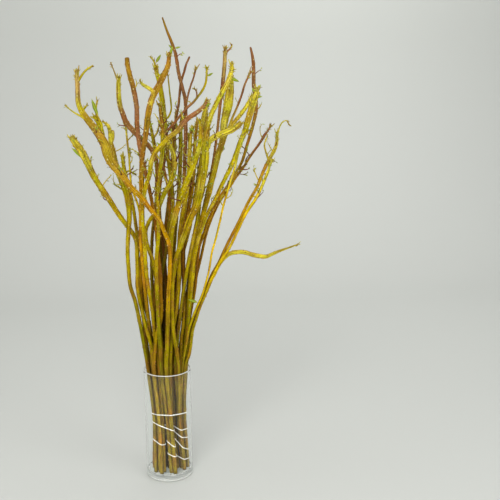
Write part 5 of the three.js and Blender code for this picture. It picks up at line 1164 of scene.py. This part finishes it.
def bark_material(name, gloss):
    """Willow bark: the mesh's own tint, grooved along the grain, with rust, stains, scabs and pores."""
    material, tree, shader = new_material(name)
    tint = node(tree, "ShaderNodeAttribute", attribute_name="tint").outputs["Color"]
    grain = node(tree, "ShaderNodeAttribute", attribute_name="grain").outputs["Vector"]
    place = node(tree, "ShaderNodeTexCoord").outputs["Object"]

    def along_grain(across, along, detail):
        """Noise with so many waves to a metre across the grain and along it."""
        vector = stretched(tree, grain, (across, along, 70))
        return node(tree, "ShaderNodeTexNoise", {"Vector": vector, "Scale": 1.0, "Detail": detail,
                                                 "Roughness": 0.6}).outputs["Fac"]

    groove = along_grain(560, 13, 3.0)
    fibre = along_grain(1500, 60, 3.0)
    rust = along_grain(260, 17, 2.0)
    scab = along_grain(480, 95, 3.0)
    nick = along_grain(760, 170, 2.0)
    patch = node(tree, "ShaderNodeTexNoise", {"Vector": place, "Scale": 38.0, "Detail": 4.0}).outputs["Fac"]
    pore = node(tree, "ShaderNodeTexVoronoi", {"Vector": stretched(tree, grain, (330, 150, 90)),
                                               "Scale": 1.0}).outputs["Distance"]
    colour = blend_colours(tree, "MULTIPLY", 1.0, tint,
                           ramp(tree, groove, [(0.34, 0.36), (0.46, 0.94), (0.56, 1.08), (0.72, 1.24)]))
    colour = blend_colours(tree, "MULTIPLY", 1.0, colour, ramp(tree, fibre, [(0.32, 0.75), (0.6, 1.0)]))
    rusty = ramp(tree, rust, [(0.56, 0.0), (0.68, 0.62)])
    colour = blend_colours(tree, "MIX", rusty, colour, RUST)
    stain = ramp(tree, patch, [(0.58, 0.0), (0.72, 0.5)])
    colour = blend_colours(tree, "MIX", stain, colour, STAIN)
    scabby = ramp(tree, scab, [(0.63, 0.0), (0.72, 0.6)])
    colour = blend_colours(tree, "MIX", scabby, colour, SCAB)
    nicked = ramp(tree, nick, [(0.60, 0.0), (0.68, 0.75)])
    colour = blend_colours(tree, "MIX", nicked, colour, NICK)
    spot = ramp(tree, pore, [(0.12, 0.85), (0.24, 0.0)])
    colour = blend_colours(tree, "MIX", spot, colour, PORE)
    tree.links.new(colour, shader.inputs["Base Color"])
    tree.links.new(ramp(tree, fibre, [(0.3, gloss + 0.2), (0.7, gloss)]), shader.inputs["Roughness"])
    fine = node(tree, "ShaderNodeBump", {"Strength": 0.4, "Distance": 0.0004, "Height": fibre})
    coarse = node(tree, "ShaderNodeBump", {"Strength": 0.7, "Distance": 0.0012, "Height": groove,
                                           "Normal": fine.outputs["Normal"]})
    tree.links.new(coarse.outputs["Normal"], shader.inputs["Normal"])
    shader.inputs["Specular IOR Level"].default_value = 0.04
    return material


def bud_material():
    """Bud scales: the mesh's own tint from dark scar to pale tip, with a faint lengthwise grain."""
    material, tree, shader = new_material("bud_scales")
    tint = node(tree, "ShaderNodeAttribute", attribute_name="tint").outputs["Color"]
    grain = node(tree, "ShaderNodeAttribute", attribute_name="grain").outputs["Vector"]
    line = node(tree, "ShaderNodeTexNoise", {"Vector": stretched(tree, grain, (1500, 260, 40)), "Scale": 1.0,
                                             "Detail": 2.0}).outputs["Fac"]
    colour = blend_colours(tree, "MULTIPLY", 1.0, tint, ramp(tree, line, [(0.3, 0.72), (0.65, 1.0)]))
    tree.links.new(colour, shader.inputs["Base Color"])
    tree.links.new(ramp(tree, line, [(0.3, 0.55), (0.7, 0.38)]), shader.inputs["Roughness"])
    bump = node(tree, "ShaderNodeBump", {"Strength": 0.3, "Distance": 0.0003, "Height": line})
    tree.links.new(bump.outputs["Normal"], shader.inputs["Normal"])
    shader.inputs["Specular IOR Level"].default_value = 0.15
    return material


def leaf_material():
    """Leaf blade: the mesh's own green with a pale midrib and slanting side veins."""
    material, tree, shader = new_material("leaf_blade")
    tint = node(tree, "ShaderNodeAttribute", attribute_name="tint").outputs["Color"]
    grain = node(tree, "ShaderNodeAttribute", attribute_name="grain").outputs["Vector"]
    split = node(tree, "ShaderNodeSeparateXYZ", {"Vector": grain})
    off = node(tree, "ShaderNodeMath", {0: split.outputs["X"]}, operation="ABSOLUTE").outputs["Value"]
    rib = node(tree, "ShaderNodeMapRange", {"Value": off, "From Min": 0.0002, "From Max": 0.0006,
                                            "To Min": 0.55, "To Max": 0.0}).outputs["Result"]
    slant = node(tree, "ShaderNodeMath", {0: split.outputs["Y"], 1: off}, operation="SUBTRACT")
    wave = node(tree, "ShaderNodeMath", {0: slant.outputs["Value"], 1: 3200.0}, operation="MULTIPLY")
    vein = node(tree, "ShaderNodeMath", {0: wave.outputs["Value"]}, operation="SINE").outputs["Value"]
    level = node(tree, "ShaderNodeMapRange", {"Value": vein, "From Min": -1.0, "From Max": 1.0})
    tone = ramp(tree, level.outputs["Result"], [(0.0, 0.8), (0.8, 1.0)])
    colour = blend_colours(tree, "MULTIPLY", 1.0, tint, tone)
    colour = blend_colours(tree, "MIX", rib, colour, MIDRIB)
    tree.links.new(colour, shader.inputs["Base Color"])
    tree.links.new(ramp(tree, vein, [(0.0, 0.5), (1.0, 0.42)]), shader.inputs["Roughness"])
    bump = node(tree, "ShaderNodeBump", {"Strength": 0.4, "Distance": 0.0003, "Height": vein})
    tree.links.new(bump.outputs["Normal"], shader.inputs["Normal"])
    shader.inputs["Specular IOR Level"].default_value = 0.15
    return material


def glass_material():
    """Clear glass with the faintest smears in its polish. Lamps shine straight through it."""
    material, tree, shader = new_material("clear_glass")
    place = node(tree, "ShaderNodeTexCoord").outputs["Object"]
    smear = node(tree, "ShaderNodeTexNoise", {"Vector": place, "Scale": 14.0, "Detail": 3.0}).outputs["Fac"]
    tree.links.new(ramp(tree, smear, [(0.45, 0.0), (0.8, 0.03)]), shader.inputs["Roughness"])
    shader.inputs["Base Color"].default_value = CLEAR_GLASS
    shader.inputs["Transmission Weight"].default_value = 1.0
    shader.inputs["IOR"].default_value = GLASS_BEND
    lamp_ray = node(tree, "ShaderNodeLightPath").outputs["Is Shadow Ray"]
    clear = node(tree, "ShaderNodeBsdfTransparent", {"Color": THROUGH_GLASS}).outputs["BSDF"]
    both = node(tree, "ShaderNodeMixShader", {0: lamp_ray, 1: shader.outputs["BSDF"], 2: clear})
    output = next(n for n in tree.nodes if n.type == "OUTPUT_MATERIAL")
    tree.links.new(both.outputs["Shader"], output.inputs["Surface"])
    return material


def highlight_glass_material(name, clearness):
    """Thick glass at the rim and foot, paler and less clear than the wall: a painted highlight for its
    bright reflections.
    """
    material, tree, shader = new_material(name)
    place = node(tree, "ShaderNodeTexCoord").outputs["Object"]
    wave = node(tree, "ShaderNodeTexNoise", {"Vector": place, "Scale": 40.0, "Detail": 2.0}).outputs["Fac"]
    tree.links.new(ramp(tree, wave, [(0.3, 0.22), (0.7, 0.12)]), shader.inputs["Roughness"])
    shader.inputs["Base Color"].default_value = PALE_HIGHLIGHT_GLASS
    shader.inputs["Transmission Weight"].default_value = clearness
    shader.inputs["IOR"].default_value = GLASS_BEND
    return material


def rubber_material():
    """White rubber, slightly soiled along its length."""
    material, tree, shader = new_material("white_rubber")
    place = node(tree, "ShaderNodeTexCoord").outputs["Object"]
    soil = node(tree, "ShaderNodeTexNoise", {"Vector": place, "Scale": 260.0, "Detail": 4.0}).outputs["Fac"]
    colour = ramp(tree, soil, [(0.3, RUBBER_SOILED), (0.6, RUBBER_CLEAN)])
    tree.links.new(colour, shader.inputs["Base Color"])
    tree.links.new(ramp(tree, soil, [(0.3, 0.6), (0.7, 0.48)]), shader.inputs["Roughness"])
    bump = node(tree, "ShaderNodeBump", {"Strength": 0.25, "Distance": 0.0002, "Height": soil})
    tree.links.new(bump.outputs["Normal"], shader.inputs["Normal"])
    return material


def floor_material():
    """Plain pale paper with a barely visible tooth."""
    material, tree, shader = new_material("pale_paper")
    place = node(tree, "ShaderNodeTexCoord").outputs["Object"]
    tooth = node(tree, "ShaderNodeTexNoise", {"Vector": place, "Scale": 900.0, "Detail": 2.0}).outputs["Fac"]
    colour = ramp(tree, tooth, [(0.3, PAPER_LOW), (0.7, PAPER_HIGH)])
    tree.links.new(colour, shader.inputs["Base Color"])
    tree.links.new(ramp(tree, tooth, [(0.3, 0.9), (0.7, 0.85)]), shader.inputs["Roughness"])
    return material


# Laying out the stems
branches = []
bundles = []
for number, stem in enumerate(STEMS):
    bundles.append(bundle_of(stem))
    stem["branches"] = [len(branches)]
    main = make_branch(stem, number, stem_knots(stem, number), FOOT_LEVEL, None)
    branches.append(main)
    for fork in stem.get("forks", []):
        first = nearest(fork["start"] / STEP)
        stem["branches"].append(len(branches))
        branches.append(make_branch(stem, number, fork_knots(fork, main), first, stem["branches"][0]))
settle(branches, bundles)
mains = [branches[stem["branches"][0]] for stem in STEMS]

# The bunch's middle and half size along x and y at each height, for the shade between its stems
BUNCH_HEIGHTS = np.arange(20.0, 800.0, 20.0)
STEM_ALLOWANCE = 6.0
bunch_rows = []
for height in BUNCH_HEIGHTS:
    tall = [main for main in mains if main["last"] * STEP > height]
    near = np.array([[at(main, "x", height), at(main, "y", height)] for main in tall])
    low, high = np.percentile(near, 6, axis=0), np.percentile(near, 94, axis=0)
    bunch_rows.append(np.concatenate([(low + high) / 2, (high - low) / 2 + STEM_ALLOWANCE]))
BUNCH = np.array(bunch_rows)


def bunch_at(height):
    """The bunch's middle and half size at given heights, read off the table between its rows."""
    columns = [np.interp(height, BUNCH_HEIGHTS, column) for column in BUNCH.T]
    return np.stack(columns[:2], axis=-1), np.stack(columns[2:], axis=-1)


bark = {tone: bark_material("bark_" + tone, gloss)
        for tone, gloss in (("yellow", 0.40), ("olive", 0.42), ("brown", 0.42), ("red", 0.38))}
buds = bud_material()
blade = leaf_material()


def tones_of(stem, part):
    """Bark tones of a stem's part at the foot, the middle, the crown and the tip."""
    crown = part.get("crown", stem.get("crown", stem["tone"]))
    return stem["tone"], stem.get("middle", stem["tone"]), crown, part.get("tip", crown)


for number, stem in enumerate(STEMS):
    piece = Piece()
    main = mains[number]
    gap, longest = INNER_SHOOTS if stem["route"][-1][1] < INNER_TIPS_BELOW else OUTER_SHOOTS
    for order, (part, place) in enumerate(zip([stem] + stem.get("forks", []), stem["branches"])):
        path = branch_path(branches[place])
        seed = 100 * number + 10 * order
        tint = bark_tints(path, length_run(path), tones_of(stem, part), seed)
        sides = WIDE_SIDES if path[:, 3].max() > WIDE_FROM else STEM_SIDES
        tip = part.get("end", "frayed")
        if tip != "pointed":
            kept = length_run(path) < length_run(path)[-1] - FRAYED_END
            path, tint = path[kept], tint[kept]
        if tip == "frayed":
            add_fingers(piece, path, tint, seed + 8)
            add_tuft(piece, path, seed + 6, *part.get("tuft", STEM_TUFT))
        add_tube(piece, path, sides, tint, seed, order == 0)
        add_buds(piece, path, tint, seed + 5)
        add_shoots(piece, path, seed + 9, SHOOTS_FROM, gap, longest)
    for order, twig in enumerate(stem.get("twigs", [])):
        path = twig_path(twig, main)
        seed = 100 * number + 50 + 5 * order
        tint = bark_tints(path, length_run(path), tones_of(stem, twig), seed)
        add_tube(piece, path, TWIG_SIDES, tint, seed, False)
        add_buds(piece, path, tint, seed + 1)
        add_tuft(piece, path, seed + 2, *TWIG_TUFT)
    if stem.get("leaves"):
        table = np.array([[*leaf, 0.0][:4] for leaf in stem["leaves"]])
        base = np.array([[at(main, "x", z) + shift, at(main, "y", z), z] for z, shift in table[:, [0, 3]]])
        reach = np.column_stack([table[:, 1], np.full(len(table), LEAF_FORWARD), table[:, 2]])
        add_leaves(piece, base, reach, number)
    made = piece.make("willow_" + stem["name"], [bark[stem["tone"]], buds, blade])
    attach(made, "root")
    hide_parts(stem["name"])


def lathe(profile, sides):
    """A surface of revolution: each profile point, a radius and a height, turned about the z axis."""
    turn = 2 * math.pi * np.arange(sides) / sides
    ring = np.stack([np.cos(turn), np.sin(turn)], axis=-1)
    flat = profile[:, None, :1] * ring[None]
    return np.concatenate([flat, np.broadcast_to(profile[:, None, 1:], (len(profile), sides, 1))], axis=-1)


def arc(centre, radius, start, end, count):
    """Points on an arc, from one angle to another in degrees."""
    angle = np.radians(np.linspace(start, end, count))
    return np.column_stack([centre[0] + radius * np.cos(angle), centre[1] + radius * np.sin(angle)])


# Vase: the profile goes from the middle of the foot out, up the wall, over the lip and down to the floor
inner = VASE_RADIUS - VASE_WALL
lip = VASE_WALL / 2
profile = np.vstack([
    [[2.0, 0.0], [20.0, 0.0], [40.0, 0.0]],
    arc((VASE_RADIUS - FOOT_ROUND, FOOT_ROUND), FOOT_ROUND, -90, 0, 9),
    np.column_stack([np.full(12, VASE_RADIUS), np.linspace(10, VASE_HEIGHT - 6, 12)]),
    arc((VASE_RADIUS - lip, VASE_HEIGHT - lip), lip, 0, 180, 11),
    np.column_stack([np.full(12, inner), np.linspace(VASE_HEIGHT - 6, VASE_FLOOR + 6, 12)]),
    arc((inner - FLOOR_ROUND, VASE_FLOOR + FLOOR_ROUND), FLOOR_ROUND, 0, -90, 8),
    [[30.0, VASE_FLOOR], [15.0, VASE_FLOOR], [2.0, VASE_FLOOR]],
])
flat_shell = lathe(profile, VASE_SIDES).reshape(-1, 3)
wall = grid_quads(len(profile), VASE_SIDES)
round_once = np.arange(VASE_SIDES)
ends = np.vstack([round_once[::-1], (len(profile) - 1) * VASE_SIDES + round_once])
vase = Piece()
vase.add(flat_shell, np.ones_like(flat_shell), flat_shell, [wall, ends], 0)
in_rim = flat_shell[wall, 2].min(axis=1) > VASE_HEIGHT - RIM_DEPTH
in_foot = flat_shell[wall, 2].max(axis=1) < FOOT_DEPTH
# The rim and foot get pale glass: a painted highlight standing in for the bright reflections of the thick
# glass.
vase.materials[0] = np.where(in_rim, 1, np.where(in_foot, 2, 0))
painted_bright_glass = [highlight_glass_material("rim_painted_highlight", RIM_CLEARNESS), highlight_glass_material("foot_painted_highlight", FOOT_CLEARNESS)]
vase_piece = vase.make("glass_vase", [glass_material()] + painted_bright_glass)
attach(vase_piece, "root")
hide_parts("vase")


def band_loop(band):
    """The tight line round the stems a band holds: in each direction, the furthest of their outlines."""
    slope_x, slope_y = band["slope"]
    discs = []
    for main in mains:
        height = band["height"]
        height += slope_x * at(main, "x", height) + slope_y * at(main, "y", height)
        x, y = at(main, "x", height), at(main, "y", height)
        lean = math.hypot(at(main, "x", height + STEP) - x, at(main, "y", height + STEP) - y)
        radius = at(main, "width", height) / 2 * FLATS_ALLOWANCE * math.sqrt(1 + (lean / STEP) ** 2)
        discs.append((x, y, radius))
    discs = np.array(discs)
    turn = 2 * math.pi * np.arange(BAND_TURNS) / BAND_TURNS
    way = np.column_stack([np.cos(turn), np.sin(turn)])
    held = np.array([name in band["bundles"] for name in bundles])
    grown = True
    while grown:
        edge = (discs[held, :2] @ way.T + discs[held, 2:]).max(axis=0)
        clear = (discs[:, :2] @ way.T - edge).max(axis=1)
        touched = ~held & (clear < discs[:, 2] + BAND_REACH)
        grown = bool(touched.any())
        held |= touched
    reach = discs[held, :2] @ way.T + discs[held, 2:]
    best = discs[held][reach.argmax(axis=0)]
    loop = best[:, :2] + way * (best[:, 2:] + BAND_GAP)
    loop = np.vstack([loop, loop[:1]])
    run = np.concatenate([[0.0], np.cumsum(np.linalg.norm(np.diff(loop, axis=0), axis=1))])
    even = np.linspace(0.0, run[-1], max(int(run[-1] / BAND_STEP), 24) + 1)[:-1]
    x, y = np.interp(even, run, loop[:, 0]), np.interp(even, run, loop[:, 1])
    return np.column_stack([x, y, band["height"] + slope_x * x + slope_y * y])


def band_skin(loop):
    """A band's skin: a rounded oblong section carried round a closed loop.

    At turn t the point is the loop's own, plus half the height times the cosine of t upwards, plus half the
    thickness times the sine of t outwards, both raised to a power that squares the section off.
    """
    ahead = unit(np.roll(loop, -1, axis=0) - np.roll(loop, 1, axis=0))
    out = unit(np.cross(ahead, np.array([0.0, 0.0, 1.0])))
    up = np.cross(out, ahead)
    turn = 2 * math.pi * np.arange(BAND_SIDES) / BAND_SIDES
    high = np.sign(np.cos(turn)) * np.abs(np.cos(turn)) ** BAND_SQUARENESS * BAND_HALF_HEIGHT
    wide = np.sign(np.sin(turn)) * np.abs(np.sin(turn)) ** BAND_SQUARENESS * BAND_HALF_THICKNESS
    skin = loop[:, None] + up[:, None] * high[None, :, None] + out[:, None] * wide[None, :, None]
    return skin.reshape(-1, 3)


rubber = rubber_material()
for band in BANDS:
    loop = band_loop(band)
    skin = band_skin(loop)
    quads = grid_quads(len(loop) + 1, BAND_SIDES) % len(skin)
    strip = Piece()
    strip.add(skin, np.ones_like(skin), skin, [quads], 0)
    made = strip.make("rubber_" + band["name"], [rubber])
    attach(made, "root")
    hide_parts(band["name"])

# Floor and backdrop: one sheet, flat in front and curving up behind
FLOOR_LEVEL = -0.0005
flat_part = [[-4.0, FLOOR_LEVEL], [-1.0, FLOOR_LEVEL], [1.2, FLOOR_LEVEL]]
sweep = np.vstack([flat_part, arc((1.4, 1.0 + FLOOR_LEVEL), 1.0, -90, 0, 24), [[2.4, 3.6]]])
sweep_x = np.linspace(-5.0, 5.0, 5)
sheet = np.stack(np.broadcast_arrays(sweep_x[None, :], sweep[:, :1], sweep[:, 1:]), axis=-1)
rows, columns = sheet.shape[:2]
r, c = np.meshgrid(np.arange(rows - 1), np.arange(columns - 1), indexing="ij")
corner = (r * columns + c).reshape(-1, 1)
floor_mesh = bpy.data.meshes.new("backdrop")
floor_mesh.from_pydata(sheet.reshape(-1, 3), [], corner + np.array([[0, 1, columns + 1, columns]]))
floor_mesh.polygons.foreach_set("use_smooth", np.ones(len(floor_mesh.polygons), bool))
floor_mesh.materials.append(floor_material())
floor = bpy.data.objects.new("backdrop", floor_mesh)
bpy.context.collection.objects.link(floor)


def area_light(name, place, target, size, power, colour):
    """A soft square light at a place, turned towards a target."""
    light = bpy.data.lights.new(name, "AREA")
    light.energy = power
    light.size = size
    light.color = colour
    lamp = bpy.data.objects.new(name, light)
    bpy.context.collection.objects.link(lamp)
    aim = unit(np.array(target) - np.array(place))
    right = unit(np.cross(aim, [0.0, 0.0, 1.0]))
    up = np.cross(right, aim)
    lamp.matrix_world = Matrix([[right[n], up[n], -aim[n], place[n]] for n in range(3)] + [[0, 0, 0, 1]])


area_light("key_light", (-0.6, -2.5, 2.3), (0.0, 0.0, 0.6), 2.0, 75.0, (1.0, 0.99, 0.97))
area_light("fill_light", (2.0, -1.8, 1.6), (0.0, 0.0, 0.5), 1.6, 18.0, (0.98, 0.99, 1.0))
area_light("top_light", (0.1, 0.2, 2.8), (0.0, 0.05, 0.0), 2.4, 26.0, (1.0, 1.0, 1.0))
area_light("backdrop_light", (0.8, 1.3, 1.7), (0.6, 2.2, 0.55), 0.5, 6.0, (1.0, 1.0, 1.0))

world = bpy.data.worlds.new("studio")
world.use_nodes = True
world.node_tree.nodes["Background"].inputs["Color"].default_value = (1.0, 1.0, 1.0, 1.0)
world.node_tree.nodes["Background"].inputs["Strength"].default_value = 0.40
bpy.context.scene.world = world

# Camera
FOCAL_PIXELS = 902.3
PICTURE_PIXELS = 500.0
SENSOR_WIDTH = 36.0
yaw, pitch, roll = math.radians(5.61), math.radians(12.86), math.radians(-0.43)
forward = np.array([math.sin(yaw) * math.cos(pitch), math.cos(yaw) * math.cos(pitch), -math.sin(pitch)])
right = np.array([math.cos(yaw), -math.sin(yaw), 0.0])
up = np.cross(right, forward)
right, up = math.cos(roll) * right + math.sin(roll) * up, -math.sin(roll) * right + math.cos(roll) * up
lens = bpy.data.cameras.new("camera")
lens.sensor_width = SENSOR_WIDTH
lens.lens = FOCAL_PIXELS / PICTURE_PIXELS * SENSOR_WIDTH
lens.clip_start = 0.05
camera = bpy.data.objects.new("camera", lens)
bpy.context.collection.objects.link(camera)
eye = (0.0, -EYE_DISTANCE * MM, EYE_HEIGHT * MM)
camera.matrix_world = Matrix([[right[n], up[n], -forward[n], eye[n]] for n in range(3)] + [[0, 0, 0, 1]])
bpy.context.scene.camera = camera
bpy.context.scene.view_settings.view_transform = "Standard"
bpy.context.scene.view_settings.look = "None"
